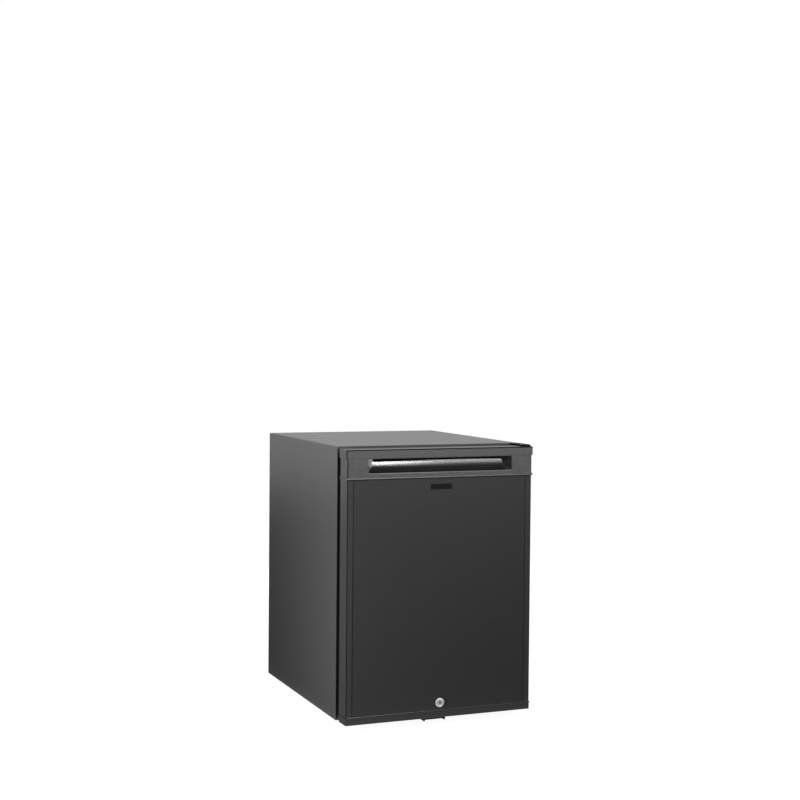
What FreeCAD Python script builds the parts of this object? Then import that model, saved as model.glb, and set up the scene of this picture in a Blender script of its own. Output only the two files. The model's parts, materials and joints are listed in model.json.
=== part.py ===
import FreeCAD, Part
import math
import os
import Sketcher
from FreeCAD import Placement, Rotation, Vector

# Hotel minibar: an absorption fridge with a right-hung door, a finger scoop in the door's top
# moulding and a cam lock at its foot. Millimetres, +Z up, the front looks along -Y, and the
# origin is on the floor under the middle of the whole object.

SIZES = {
    # Cabinet outside
    "cabinet_wide": 402.0,
    "cabinet_deep": 448.0,
    "cabinet_tall": 546.0,
    "steel": 1.0,
    "steel_bend": 2.5,
    "front_return": 15.0,
    "rear_return": 10.0,
    "base_lip": 12.0,
    "foot_tall": 14.0,
    "foot_radius": 15.0,
    "foot_side_inset": 38.0,
    "foot_front_inset": 62.0,
    "foot_back_inset": 40.0,
    # Insulated box
    "side_wall": 33.0,
    "roof_wall": 35.0,
    "floor_wall": 35.0,
    "back_wall": 33.0,
    "recess_deep": 105.0,
    "liner_wall": 1.5,
    "liner_flange": 14.0,
    "liner_corner": 12.0,
    "shelf_rib_deep": 6.0,
    "shelf_rib_tall": 5.0,
    "frame_thick": 4.0,
    "frame_band": 14.0,
    "frame_side_band": 5.0,
    "frame_chamfer": 1.2,
    # Door
    "door_gap": 18.5,
    "door_thick": 38.0,
    "door_top_drop": 3.7,
    "door_low_rise": 1.9,
    "mould_wall": 3.5,
    "handle_tall": 58.3,
    "cap_tall": 17.3,
    "cap_side_proud": 2.2,
    "cap_front_proud": 0.8,
    "bead_tall": 4.0,
    "bead_side_proud": 2.0,
    "bead_front_proud": 0.7,
    "lip_tall": 11.5,
    "lip_round": 1.6,
    "scoop_margin": 44.5,
    "scoop_tall": 28.5,
    "scoop_deep": 19.5,
    "scoop_rise": 9.0,
    "scoop_wall": 2.5,
    "scoop_radius": 34.0,
    "trim_tall": 15.5,
    "trim_wall": 3.0,
    "trim_bead_tall": 3.0,
    "trim_bead_proud": 1.2,
    "rail_wide": 12.7,
    "rail_wall": 2.5,
    "rail_ledge": 8.0,
    "rail_ledge_thick": 2.0,
    "rail_back_lip": 14.0,
    "rail_round": 1.5,
    "panel_thick": 3.0,
    "panel_drop": 0.6,
    "panel_groove": 0.8,
    "door_liner_wall": 1.5,
    "door_liner_margin": 6.0,
    "dam_clear": 10.0,
    "dam_thick": 10.0,
    "dam_rise": 28.5,
    "dam_bevel": 3.0,
    "gasket_centre_out": 11.0,
    "gasket_foot": 14.0,
    "gasket_foot_tall": 3.0,
    "gasket_neck": 7.0,
    "gasket_head": 13.0,
    "gasket_head_tall": 4.2,
    "seal_clear": 0.3,
    # Door racks
    "rack_reach": 75.0,
    "rack_wall": 2.0,
    "rack_clear": 2.0,
    "rack_tall_low": 88.0,
    "rack_tall_middle": 60.0,
    "rack_tall_high": 60.0,
    "rack_rise_low": 24.0,
    "rack_drop_high": 126.0,
    "rack_back_tall": 34.0,
    "rack_lug_tall": 14.0,
    "rack_lug_wide": 8.0,
    "rack_round": 9.0,
    # Hinges
    "hinge_from_side": 13.0,
    "hinge_from_front": 21.0,
    "hinge_gap": 0.6,
    "hinge_wide": 44.0,
    "hinge_thick": 3.0,
    "hinge_flange_tall": 13.0,
    "hinge_flange_thick": 2.5,
    "hinge_flange_inset": 1.8,
    "hinge_arm_wide": 20.0,
    "hinge_notch": 4.5,
    "hinge_end_radius": 7.0,
    "hinge_front_set": 1.5,
    "hinge_round": 4.0,
    "pin_radius": 3.0,
    "pin_reach": 12.0,
    "bush_radius": 5.5,
    "bush_long": 14.0,
    "run_clear": 0.05,
    "screw_head": 3.6,
    "screw_head_tall": 2.0,
    "screw_from_edge": 9.0,
    "screw_pitch": 24.0,
    # Cam lock and its keeper
    "lock_rise": 30.1,
    "lock_proud": 3.0,
    "lock_flange": 9.2,
    "lock_body": 8.0,
    "lock_body_long": 29.5,
    "plug_radius": 6.0,
    "plug_sunk": 0.4,
    "plug_post": 6.0,
    "cam_nut_flats": 8.0,
    "cam_nut_thick": 3.0,
    "key_slot_long": 6.4,
    "key_slot_wide": 1.6,
    "key_slot_deep": 5.0,
    "cam_set": 30.1,
    "cam_thick": 2.0,
    "cam_long": 39.0,
    "cam_wide": 12.0,
    "cam_corner": 3.0,
    "cam_room": 2.0,
    "lock_nut_flats": 21.0,
    "lock_nut_thick": 3.5,
    "keeper_wide": 46.5,
    "keeper_thick": 2.0,
    "keeper_drop": 5.4,
    "keeper_flange_tall": 4.6,
    "keeper_from_front": 24.0,
    "keeper_slot_half": 19.0,
    "keeper_lip": 3.5,
    "keeper_slot_long": 8.0,
    "keeper_foot_long": 26.0,
    "keeper_step_long": 12.0,
    # Inside the cabinet
    "evaporator_half": 95.0,
    "evaporator_tall": 84.0,
    "evaporator_drop": 12.0,
    "evaporator_plate": 4.0,
    "fin_deep": 26.0,
    "fin_thick": 1.6,
    "fin_margin": 8.0,
    "gutter_tall": 13.0,
    "gutter_deep": 42.0,
    "gutter_wall": 2.0,
    "gutter_over": 12.0,
    "gutter_gap": 4.0,
    "drain_radius": 5.0,
    "drain_out": 17.0,
    "drain_down": 30.0,
    "drain_bend": 9.0,
    "cup_wide": 90.0,
    "cup_deep": 34.0,
    "cup_tall": 34.0,
    "cup_wall": 2.0,
    "cup_lap": 8.0,
    "shelf_rise_low": 132.0,
    "shelf_rise_high": 262.0,
    "shelf_deep": 214.0,
    "shelf_side_clear": 1.5,
    "shelf_back_clear": 10.0,
    "rim_radius": 2.5,
    "rim_bend": 10.0,
    "wire_radius": 1.5,
    "wire_margin": 16.5,
    "lamp_wide": 70.0,
    "lamp_deep": 30.0,
    "lamp_tall": 7.0,
    "lens_tall": 5.0,
    "lens_inset": 3.0,
    "lamp_back": 60.0,
    "switch_wide": 34.0,
    "switch_deep": 12.0,
    "switch_tall": 9.0,
    "switch_in": 20.0,
    "magnet_wide": 20.0,
    "magnet_deep": 6.0,
    "magnet_tall": 4.0,
    "stat_thick": 20.0,
    "stat_deep": 74.0,
    "stat_tall": 56.0,
    "stat_in": 96.0,
    "stat_drop": 44.0,
    "knob_radius": 17.0,
    "knob_tall": 13.0,
    "knob_gap": 0.5,
    "knob_shaft": 3.0,
    "knob_shaft_long": 10.0,
    "knob_grip_tall": 6.5,
    # Cooling unit in the open rear recess
    "unit_from_panel": 60.0,
    "can_radius": 36.0,
    "rectifier_rise": 130.0,
    "can_rise": 46.0,
    "can_side_gap": 32.0,
    "heater_radius": 6.0,
    "heater_long": 90.0,
    "heater_out": 10.0,
    "heater_offset": 18.0,
    "tube_radius": 8.0,
    "tube_bend": 24.0,
    "condenser_drop": 70.0,
    "condenser_slope": 12.0,
    "condenser_side_gap": 69.0,
    "condenser_start": 48.0,
    "plate_wide": 58.0,
    "plate_thick": 1.2,
    "plate_start": 12.0,
    "coil_low": 82.0,
    "coil_pitch": 66.0,
    "coil_side_gap": 59.0,
    "coil_can_gap": 71.0,
    "coil_riser": 40.0,
    "vessel_radius": 30.0,
    "vessel_side_gap": 56.0,
    "vessel_can_gap": 48.0,
    "vessel_rise": 36.0,
    "small_radius": 5.0,
    "small_bend": 16.0,
    "feed_from_panel": 17.0,
    "feed_out": 28.0,
    "gas_radius": 8.5,
    "gas_bend": 19.0,
    "gas_from_panel": 20.0,
    "vent_radius": 4.0,
    "exchanger_rise": 26.0,
    "bracket_thick": 2.0,
    "bracket_flange": 22.0,
    "bracket_rise": 80.0,
    "bracket_tall": 170.0,
    "box_wide": 56.0,
    "box_deep": 30.0,
    "box_tall": 60.0,
    "box_round": 3.0,
    "box_gap": 10.5,
    "box_can_gap": 26.0,
    "gland_radius": 8.0,
    "gland_bore": 4.0,
    "gland_long": 12.0,
    # One overrun for every cut that has to pass a face
    "overrun": 5.0,
}

# How many of each repeated detail
FIN_COUNT = 13
WIRE_COUNT = 11
PLATE_COUNT = 12
COIL_PASSES = 3

# Flat sides of the sections that stand in for round ones on long, thin and bent pieces
TUBE_SIDES = 8
WIRE_SIDES = 6
NUT_SIDES = 6
FOOT_SIDES = 12
KNOB_SIDES = 16

# Shares of a size, chosen by hand
KNOB_GRIP_SHARE = 0.33
NUT_ROOM_SHARE = 0.66

doc = FreeCAD.newDocument("Minibar")
sheet = doc.addObject("Spreadsheet::Sheet", "Sizes")
for row, (name, number) in enumerate(SIZES.items(), start=1):
    sheet.set(f"A{row}", name)
    sheet.set(f"B{row}", str(number))
    sheet.setAlias(f"B{row}", name)
doc.recompute()


def terms(thing):
    """The value and the formula of a size or of a plain number."""
    if isinstance(thing, Size):
        return thing.value, thing.formula
    return float(thing), repr(float(thing))


class Size:
    """A length that knows its value and the formula that ties it to the sheet."""

    def __init__(self, value, formula):
        self.value = value
        self.formula = formula

    def __add__(self, other):
        value, formula = terms(other)
        return Size(self.value + value, f"({self.formula} + {formula})")

    def __sub__(self, other):
        value, formula = terms(other)
        return Size(self.value - value, f"({self.formula} - {formula})")

    def __mul__(self, other):
        value, formula = terms(other)
        return Size(self.value * value, f"({self.formula} * {formula})")

    def __truediv__(self, other):
        value, formula = terms(other)
        return Size(self.value / value, f"({self.formula} / {formula})")

    def __neg__(self):
        return Size(-self.value, f"(0 - {self.formula})")

    __radd__ = __add__
    __rmul__ = __mul__


class Sheet:
    """Reads each driving size back from the spreadsheet by its alias."""

    def __getattr__(self, name):
        return Size(float(getattr(sheet, name)), f"Sizes.{name}")


s = Sheet()
places = doc.addObject("Spreadsheet::Sheet", "Places")
place_rows = []


def place(name, size):
    """Keeps a worked-out position in the second sheet under its own name."""
    place_rows.append(name)
    cell = f"B{len(place_rows)}"
    places.set(f"A{len(place_rows)}", name)
    places.set(cell, "=" + size.formula)
    places.setAlias(cell, name)
    return Size(size.value, f"Places.{name}")


# Main planes of the object, all worked out from the driving sizes
half_wide = place("half_wide", s.cabinet_wide / 2)
total_deep = s.cabinet_deep + s.door_gap + s.door_thick + s.lock_proud
back_y = place("back_y", total_deep / 2)
front_y = place("front_y", back_y - s.cabinet_deep)
door_back = place("door_back", front_y - s.door_gap)
door_front = place("door_front", door_back - s.door_thick)
low_z = place("low_z", s.foot_tall)
top_z = place("top_z", s.foot_tall + s.cabinet_tall)
door_low = place("door_low", low_z + s.door_low_rise)
door_top = place("door_top", top_z - s.door_top_drop)
inner_half = place("inner_half", half_wide - s.side_wall)
inner_low = place("inner_low", low_z + s.floor_wall)
inner_top = place("inner_top", top_z - s.roof_wall)
recess_y = place("recess_y", back_y - s.recess_deep)
inner_back = place("inner_back", recess_y - s.back_wall)
frame_front = place("frame_front", front_y - s.frame_thick)
low_rack_z = place("low_rack_z", inner_low + s.dam_clear + s.dam_thick + s.rack_rise_low)
high_rack_z = place("high_rack_z", inner_top - s.rack_drop_high)
rack_room_z = low_rack_z + s.rack_tall_low + high_rack_z
middle_rack_z = place("middle_rack_z", (rack_room_z - s.rack_tall_middle) / 2)
mould_low = place("mould_low", door_top - s.handle_tall)
cap_low = place("cap_low", door_top - s.cap_tall)
trim_top = place("trim_top", door_low + s.trim_tall)
scoop_half = place("scoop_half", half_wide - s.scoop_margin)
scoop_low = place("scoop_low", mould_low + s.lip_tall)
scoop_top = place("scoop_top", scoop_low + s.scoop_tall)
panel_front = place("panel_front", door_front + s.panel_drop)
panel_back = place("panel_back", panel_front + s.panel_thick)
ledge_back = place("ledge_back", panel_back + s.rail_ledge_thick)
hinge_x = place("hinge_x", half_wide - s.hinge_from_side)
hinge_y = place("hinge_y", door_front + s.hinge_from_front)
lock_z = place("lock_z", door_low + s.lock_rise)
cam_front = place("cam_front", door_front + s.cam_set)
unit_y = place("unit_y", recess_y + s.unit_from_panel)
bracket_low = place("bracket_low", door_low - s.hinge_gap - s.hinge_thick)
top_screw_z = place("top_screw_z", top_z - s.hinge_flange_tall + s.screw_from_edge / 2)
low_screw_z = place("low_screw_z", low_z + s.hinge_flange_tall - s.screw_from_edge / 2)
doc.recompute()

kept = []


def bind(thing, name, size):
    """Ties one property to the sheet's formula, or sets a plain number."""
    value, formula = terms(size)
    if isinstance(size, Size):
        thing.setExpression(name, formula)
    elif not name.startswith("Placement") and not name.startswith("Attachment"):
        setattr(thing, name, value)


def arc(u, v, radius, turn):
    """A corner of an outline whose next edge is an arc, turning left (1) or right (-1)."""
    return (u, v, radius, turn)


def arc_edge(start, end, radius, turn):
    """The short arc from start to end as sketch geometry."""
    chord = end - start
    middle = (start + end) / 2
    rise = math.sqrt(max(radius ** 2 - (chord.Length / 2) ** 2, 0))
    left = Vector(-chord.y, chord.x, 0).normalize()
    centre = middle + left * rise * turn
    first = math.atan2(start.y - centre.y, start.x - centre.x)
    last = math.atan2(end.y - centre.y, end.x - centre.x)
    if turn < 0:
        first, last = last, first
    circle = Part.Circle(centre, Vector(0, 0, 1), radius)
    return Part.ArcOfCircle(circle, first, last)


def pin_point(sketch, geometry, end, u, v):
    """Fixes one point of a sketch at (u, v) with driving dimensions."""
    for kind, axis, size in (("DistanceX", -2, u), ("DistanceY", -1, v)):
        value, formula = terms(size)
        if isinstance(size, Size):
            index = sketch.addConstraint(Sketcher.Constraint(kind, -1, 1, geometry, end, value))
            sketch.setExpression(f"Constraints[{index}]", formula)
        else:
            sketch.addConstraint(Sketcher.Constraint("PointOnObject", geometry, end, axis))


def draw_outline(sketch, outline):
    """A closed outline of lines and arcs, each corner held by its own two dimensions."""
    corners = [Vector(terms(c[0])[0], terms(c[1])[0], 0) for c in outline]
    first = sketch.GeometryCount
    count = len(outline)
    for i, corner in enumerate(outline):
        start = corners[i]
        end = corners[(i + 1) % count]
        if len(corner) == 4:
            edge = arc_edge(start, end, terms(corner[2])[0], corner[3])
        else:
            edge = Part.LineSegment(start, end)
        sketch.addGeometry(edge, False)
    for i, corner in enumerate(outline):
        before = outline[i - 1]
        turned = len(corner) == 4 and corner[3] < 0
        previous_turned = len(before) == 4 and before[3] < 0
        here = (first + i, 2 if turned else 1)
        there = (first + (i - 1) % count, 1 if previous_turned else 2)
        sketch.addConstraint(Sketcher.Constraint("Coincident", *there, *here))
    for i, corner in enumerate(outline):
        turned = len(corner) == 4 and corner[3] < 0
        pin_point(sketch, first + i, 2 if turned else 1, corner[0], corner[1])
        if len(corner) == 4:
            value, formula = terms(corner[2])
            index = sketch.addConstraint(Sketcher.Constraint("Radius", first + i, value))
            sketch.setExpression(f"Constraints[{index}]", formula)


def draw_circle(sketch, u, v, radius):
    """A circle held by its centre and its radius."""
    centre = Vector(terms(u)[0], terms(v)[0], 0)
    index = sketch.addGeometry(Part.Circle(centre, Vector(0, 0, 1), radius.value), False)
    pin_point(sketch, index, 3, u, v)
    held = sketch.addConstraint(Sketcher.Constraint("Radius", index, radius.value))
    sketch.setExpression(f"Constraints[{held}]", radius.formula)


class Piece:
    """One sub-part, built feature by feature on its own origin planes."""

    def __init__(self, label):
        self.body = doc.addObject("PartDesign::Body", label)
        self.body.Label = label
        kept.append(self.body)

    def origin(self, role):
        return next(f for f in self.body.Origin.OriginFeatures if f.Role == role)

    def sketch(self, plane, at):
        sketch = self.body.newObject("Sketcher::SketchObject", "Outline")
        sketch.AttachmentSupport = (self.origin(plane + "_Plane"), [""])
        sketch.MapMode = "FlatFace"
        offset = -at if plane == "XZ" and isinstance(at, Size) else at
        sketch.AttachmentOffset = Placement(Vector(0, 0, terms(offset)[0]), Rotation())
        bind(sketch, "AttachmentOffset.Base.z", offset)
        return sketch

    def feature(self, kind, plane, low, high, outlines):
        """Adds a pad or pocket between two places along the plane's normal axis."""
        adds = kind == "Pad"
        at = low if adds == (plane != "XZ") else high
        sketch = self.sketch(plane, at)
        for outline in outlines:
            if isinstance(outline, tuple):
                draw_circle(sketch, *outline)
            else:
                draw_outline(sketch, outline)
        made = self.body.newObject("PartDesign::" + kind, kind)
        made.Profile = sketch
        bind(made, "Length", high - low)
        self.settle(made)
        return made

    def settle(self, made):
        """Recomputes, and stops at the first feature that fails."""
        doc.recompute()
        if "Invalid" in made.State or "Error" in made.State or made.Shape.isNull():
            raise RuntimeError(f"{made.Name} of {self.body.Label} failed: {made.State}")

    def pad(self, plane, low, high, *outlines):
        return self.feature("Pad", plane, low, high, outlines)

    def pocket(self, plane, low, high, *outlines):
        before = self.body.Shape.Volume
        made = self.feature("Pocket", plane, low, high, outlines)
        if not self.body.Shape.Volume < before:
            raise RuntimeError(f"a pocket of {self.body.Label} cuts nothing")
        return made

    def row(self, original, axis, pitch, count):
        """Repeats one feature along an axis at a steady pitch."""
        pattern = self.body.newObject("PartDesign::LinearPattern", "Row")
        pattern.Originals = [original]
        pattern.Direction = (self.origin(axis + "_Axis"), [""])
        bind(pattern, "Length", pitch * (count - 1))
        pattern.Occurrences = count
        self.body.Tip = pattern
        self.settle(pattern)
        return pattern

    def edges(self, axis, spots):
        """Names of the straight edges along an axis that pass the given spots."""
        index = "XYZ".index(axis)
        others = [i for i in range(3) if i != index]
        names = []
        for number, edge in enumerate(self.body.Tip.Shape.Edges, start=1):
            ends = [v.Point for v in edge.Vertexes]
            if len(ends) != 2 or edge.Curve.TypeId != "Part::GeomLine":
                continue
            step = ends[1] - ends[0]
            if abs(step[index]) < 0.999 * step.Length:
                continue
            for spot in spots:
                near = [at is None or abs(ends[0][i] - terms(at)[0]) < 1e-4 for i, at in zip(others, spot)]
                if all(near):
                    names.append(f"Edge{number}")
        return names

    def dress(self, kind, names, prop, size):
        base = self.body.Tip
        made = self.body.newObject("PartDesign::" + kind, kind)
        made.Base = (base, names)
        bind(made, prop, size)
        self.body.Tip = made
        self.settle(made)
        return made

    def round(self, axis, radius, *spots):
        return self.dress("Fillet", self.edges(axis, spots), "Radius", radius)

    def bevel(self, axis, size, *spots):
        return self.dress("Chamfer", self.edges(axis, spots), "Size", size)


def ordered(first, second):
    """Two places with the lower one first."""
    return (first, second) if first.value < second.value else (second, first)


def frame(left, right, low, high):
    """A rectangle's four corners."""
    return [(left, low), (right, low), (right, high), (left, high)]


def soft_frame(left, right, low, high, radius):
    """A rectangle with four rounded corners."""
    return [(left + radius, low), arc(right - radius, low, radius, 1), (right, low + radius),
            arc(right, high - radius, radius, 1), (right - radius, high),
            arc(left + radius, high, radius, 1), (left, high - radius), arc(left, low + radius, radius, 1)]


def many_sided(u, v, radius, sides):
    """A regular outline inside a circle, with a flat square to the first axis."""
    step = 2 * math.pi / sides
    turns = [step * (i + 1 / 2) for i in range(sides)]
    return [(u + radius * math.cos(turn), v + radius * math.sin(turn)) for turn in turns]


def block(label, x, y, z):
    """A plain rectangular body between pairs of places."""
    piece = Piece(label)
    piece.pad("XY", z[0], z[1], frame(x[0], x[1], y[0], y[1]))
    return piece


def at_point(*sizes):
    return Vector(*[terms(size)[0] for size in sizes])


def tube_wire(points, bend):
    """Straight runs through the points, joined by tangent arcs of one bend radius."""
    edges = []
    start = points[0]
    for before, corner, after in zip(points, points[1:], points[2:]):
        back = (before - corner).normalize()
        ahead = (after - corner).normalize()
        half = back.getAngle(ahead) / 2
        reach = bend / math.tan(half)
        first = corner + back * reach
        last = corner + ahead * reach
        inward = (back + ahead).normalize()
        middle = corner + inward * (bend / math.sin(half) - bend)
        if (first - start).Length > bend / 1000:
            edges.append(Part.LineSegment(start, first).toShape())
        edges.append(Part.Arc(first, middle, last).toShape())
        start = last
    edges.append(Part.LineSegment(start, points[-1]).toShape())
    return Part.Wire(edges)


def keep(label, shape):
    """Adds a finished shape as one named piece."""
    made = doc.addObject("Part::Feature", label)
    made.Label = label
    made.Shape = shape
    kept.append(made)
    return made


def section(centre, along, radius, sides):
    """A many-sided wire square to a direction, with a flat square to the vertical where it can."""
    ahead = Vector(along).normalize()
    side = ahead.cross(Vector(0, 0, 1))
    side = side.normalize() if side.Length > radius.value / 1e6 else Vector(1, 0, 0)
    up = side.cross(ahead)
    corners = [centre + side * terms(u)[0] + up * terms(v)[0] for u, v in many_sided(0, 0, radius, sides)]
    return Part.makePolygon(corners + corners[:1])


def swept(label, points, radius, bend, sides=TUBE_SIDES):
    """A bent bar along the points, its volume compared with section times length."""
    wire = tube_wire(points, bend.value)
    ring = section(points[0], points[1] - points[0], radius, sides)
    solid = wire.makePipeShell([ring], True, False)
    expected = Part.Face(ring).Area * wire.Length
    print(f"{label}: volume against section times length {solid.Volume / expected:.4f}")
    return solid


def straight(start, end, radius, sides=TUBE_SIDES):
    """A straight bar between two points."""
    along = end - start
    return Part.Face(section(start, along, radius, sides)).extrude(along)


def trimmed(solid, others):
    """The largest piece of a bar that is left where other pieces cut it."""
    for other in others:
        solid = max(solid.cut(other.Shape).Solids, key=lambda body: body.Volume)
    return solid


def tube(label, points, radius, bend, cuts=()):
    """A bent round bar as a piece, trimmed where it meets other pieces."""
    return keep(label, trimmed(swept(label, points, radius, bend), cuts))


def group(label, shapes):
    """Identical loose solids that share one node."""
    made = doc.addObject("Part::Compound", label)
    made.Label = label
    made.Links = shapes
    kept.append(made)
    return made


# Cabinet: steel wrap, base pan, rear panel, foam, liner and front frame

def wrap_outline(inset, low):
    """The inverted U of the steel wrap at one depth under its skin, from foot to foot."""
    x = half_wide - inset
    z = top_z - inset
    r = s.steel_bend - inset
    return [(-x, low), (x, low), arc(x, z - r, r, 1), (x - r, z), arc(-x + r, z, r, 1), (-x, z - r)]


def cabinet_shell():
    piece = Piece("cabinet_shell")
    piece.pad("XZ", front_y, back_y, wrap_outline(0, low_z))
    piece.pocket("XZ", front_y + s.steel, back_y + s.overrun, wrap_outline(s.steel, low_z - s.overrun))
    inner = half_wide - s.front_return
    piece.pocket("XZ", front_y - s.overrun, front_y + s.steel + s.overrun,
                 frame(-inner, inner, low_z - s.overrun, top_z - s.front_return))
    for side in (-1, 1):
        lip = ordered((half_wide - s.steel) * side, (half_wide - s.rear_return) * side)
        piece.pad("XZ", back_y - s.steel, back_y, frame(*lip, low_z, top_z - s.steel))
    return piece


def cabinet_base():
    x = half_wide - s.steel
    piece = Piece("cabinet_base")
    piece.pad("XY", low_z, low_z + s.steel, frame(-x, x, front_y + s.steel, back_y - s.steel))
    for side in (-1, 1):
        lip = ordered(x * side, (x - s.steel) * side)
        piece.pad("XY", low_z + s.steel, low_z + s.base_lip,
                  frame(*lip, front_y + s.steel, back_y - s.steel))
    inner = half_wide - s.front_return
    piece.pad("XZ", front_y, front_y + s.steel, frame(-inner, inner, low_z, low_z + s.front_return))
    return piece


def gutter_places():
    """Height of the drip gutter's floor and rim under the evaporator."""
    rim = inner_top - s.evaporator_drop - s.evaporator_tall - s.gutter_gap
    return rim - s.gutter_tall, rim


gutter_low, gutter_rim = gutter_places()
drain_z = place("drain_z", gutter_low + s.gutter_wall + s.drain_radius)
fin_pitch = place("fin_pitch", (s.evaporator_half - s.fin_margin) * 2 / (FIN_COUNT - 1))
feed_x = place("feed_x", -s.evaporator_half + fin_pitch)
gas_x = place("gas_x", s.evaporator_half - fin_pitch * 2)
pipe_z = place("pipe_z", inner_top - s.evaporator_drop - s.evaporator_tall / 2)
can_x = place("can_x", half_wide - s.can_side_gap - s.can_radius)
can_low = place("can_low", low_z + s.can_rise)
condenser_z = place("condenser_z", top_z - s.condenser_drop)
can_high = place("can_high", condenser_z - s.rectifier_rise)
feed_z = place("feed_z", condenser_z - s.condenser_slope)
condenser_left = place("condenser_left", -half_wide + s.condenser_side_gap)
coil_left = place("coil_left", -half_wide + s.coil_side_gap)
coil_right = place("coil_right", can_x - s.coil_can_gap)
vessel_z = place("vessel_z", low_z + s.vessel_rise)
vessel_left = place("vessel_left", -half_wide + s.vessel_side_gap)
vessel_right = place("vessel_right", can_x - s.vessel_can_gap)
doc.recompute()


def wall_holes():
    """The three tubes that pass through the insulated back wall."""
    return [
        many_sided(0, drain_z, s.drain_radius, TUBE_SIDES),
        many_sided(feed_x, feed_z, s.small_radius, TUBE_SIDES),
        many_sided(gas_x, pipe_z, s.gas_radius, TUBE_SIDES),
    ]


def rear_panel():
    x = half_wide - s.steel * 2
    piece = Piece("rear_panel")
    piece.pad("XZ", recess_y - s.steel, recess_y,
              frame(-x, x, low_z + s.steel, top_z - s.steel - s.steel_bend))
    piece.pocket("XZ", recess_y - s.overrun, recess_y + s.overrun, *wall_holes())
    return piece


def insulation_foam():
    piece = Piece("insulation_foam")
    x = half_wide - s.steel * 2
    corner = s.steel_bend
    z = top_z - s.steel
    outline = [(-x, low_z + s.steel), (x, low_z + s.steel), (x, z - corner), (x - corner, z),
               (-x + corner, z), (-x, z - corner)]
    front = front_y + s.liner_wall
    back = recess_y - s.steel
    piece.pad("XZ", front, back, outline)
    hole = inner_half + s.liner_wall
    piece.pocket("XZ", front - s.overrun, inner_back + s.liner_wall,
                 frame(-hole, hole, inner_low - s.liner_wall, inner_top + s.liner_wall))
    piece.pocket("XZ", inner_back - s.overrun, back + s.overrun, *wall_holes())
    return piece


def shelf_ribs():
    """Heights of the rib tops that carry the two shelves."""
    return inner_low + s.shelf_rise_low, inner_low + s.shelf_rise_high


def inner_liner():
    """The moulded tub: flange, tub and a pair of wedge-shaped ribs under each shelf."""
    piece = Piece("inner_liner")
    wall = s.liner_wall
    outer = inner_half + wall
    flange = inner_half + s.liner_flange
    piece.pad("XZ", front_y, front_y + wall,
              frame(-flange, flange, inner_low - s.liner_flange, inner_top + s.liner_flange))
    piece.pad("XZ", front_y, inner_back + wall,
              soft_frame(-outer, outer, inner_low - wall, inner_top + wall, s.liner_corner + wall))
    piece.pocket("XZ", front_y - s.overrun, inner_back,
                 soft_frame(-inner_half, inner_half, inner_low, inner_top, s.liner_corner))
    for top in shelf_ribs():
        for side in (-1, 1):
            tip = (inner_half - s.shelf_rib_deep) * side
            root = (inner_half + wall / 2) * side
            under = top - s.shelf_rib_tall
            outline = [(root, under - s.shelf_rib_deep), (tip, under), (tip, top), (root, top)]
            piece.pad("XZ", inner_back - s.shelf_deep - s.shelf_back_clear, inner_back + wall / 2, outline)
    piece.pocket("XZ", inner_back - s.overrun, inner_back + s.overrun, *wall_holes())
    return piece


def front_frame():
    piece = Piece("front_frame")
    x = half_wide - s.frame_side_band
    low = low_z + s.frame_band
    high = top_z - s.frame_band
    piece.pad("XZ", frame_front, front_y, frame(-x, x, low, high))
    piece.pocket("XZ", frame_front - s.overrun, front_y + s.overrun,
                 soft_frame(-inner_half, inner_half, inner_low, inner_top, s.liner_corner))
    piece.bevel("X", s.frame_chamfer, (frame_front, low), (frame_front, high))
    piece.bevel("Z", s.frame_chamfer, (-x, frame_front), (x, frame_front))
    return piece


def feet():
    """Four round rubber feet against the base."""
    solids = []
    xs = (-half_wide + s.foot_side_inset, half_wide - s.foot_side_inset)
    ys = (front_y + s.foot_front_inset, back_y - s.foot_back_inset)
    for x in xs:
        for y in ys:
            foot = doc.addObject("Part::Prism", "Foot")
            foot.Polygon = FOOT_SIDES
            bind(foot, "Circumradius", s.foot_radius)
            bind(foot, "Height", s.foot_tall)
            bind(foot, "Placement.Base.x", x)
            bind(foot, "Placement.Base.y", y)
            solids.append(foot)
    return group("feet", solids)


# Inside of the cabinet

def evaporator():
    piece = Piece("evaporator")
    top = inner_top - s.evaporator_drop
    low = top - s.evaporator_tall
    plate = inner_back - s.evaporator_plate
    piece.pad("XZ", plate, inner_back, frame(-s.evaporator_half, s.evaporator_half, low, top))
    span = fin_pitch * (FIN_COUNT - 1)
    first = span / -2 - s.fin_thick / 2
    fin = piece.pad("XZ", plate - s.fin_deep, plate, frame(first, first + s.fin_thick, low, top))
    piece.row(fin, "X", fin_pitch, FIN_COUNT)
    return piece


def drip_gutter():
    piece = Piece("drip_gutter")
    x = s.evaporator_half + s.gutter_over
    front = inner_back - s.gutter_deep
    piece.pad("XY", gutter_low, gutter_rim, frame(-x, x, front, inner_back))
    wall = s.gutter_wall
    piece.pocket("XY", gutter_low + wall, gutter_rim + s.overrun,
                 frame(-x + wall, x - wall, front + wall, inner_back - wall))
    piece.pocket("XZ", inner_back - wall - s.overrun, inner_back + s.overrun,
                 many_sided(0, drain_z, s.drain_radius, TUBE_SIDES))
    return piece


def shelf(label, rib_top):
    """A coated wire shelf: a closed bent rim with straight cross wires welded into it."""
    x = inner_half - s.shelf_side_clear - s.rim_radius
    back = inner_back - s.shelf_back_clear - s.rim_radius
    front = back - s.shelf_deep + s.rim_radius * 2
    z = rib_top + s.rim_radius
    corners = [at_point(*corner, z) for corner in
               ((0, front), (x, front), (x, back), (-x, back), (-x, front), (0, front))]
    rim = swept(label, corners, s.rim_radius, s.rim_bend, WIRE_SIDES)
    last = x - s.wire_margin
    lanes = [last * 2 * i / (WIRE_COUNT - 1) - last for i in range(WIRE_COUNT)]
    wires = [straight(at_point(lane, front, z), at_point(lane, back, z), s.wire_radius, WIRE_SIDES)
             for lane in lanes]
    return keep(label, rim.fuse(wires))


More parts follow.
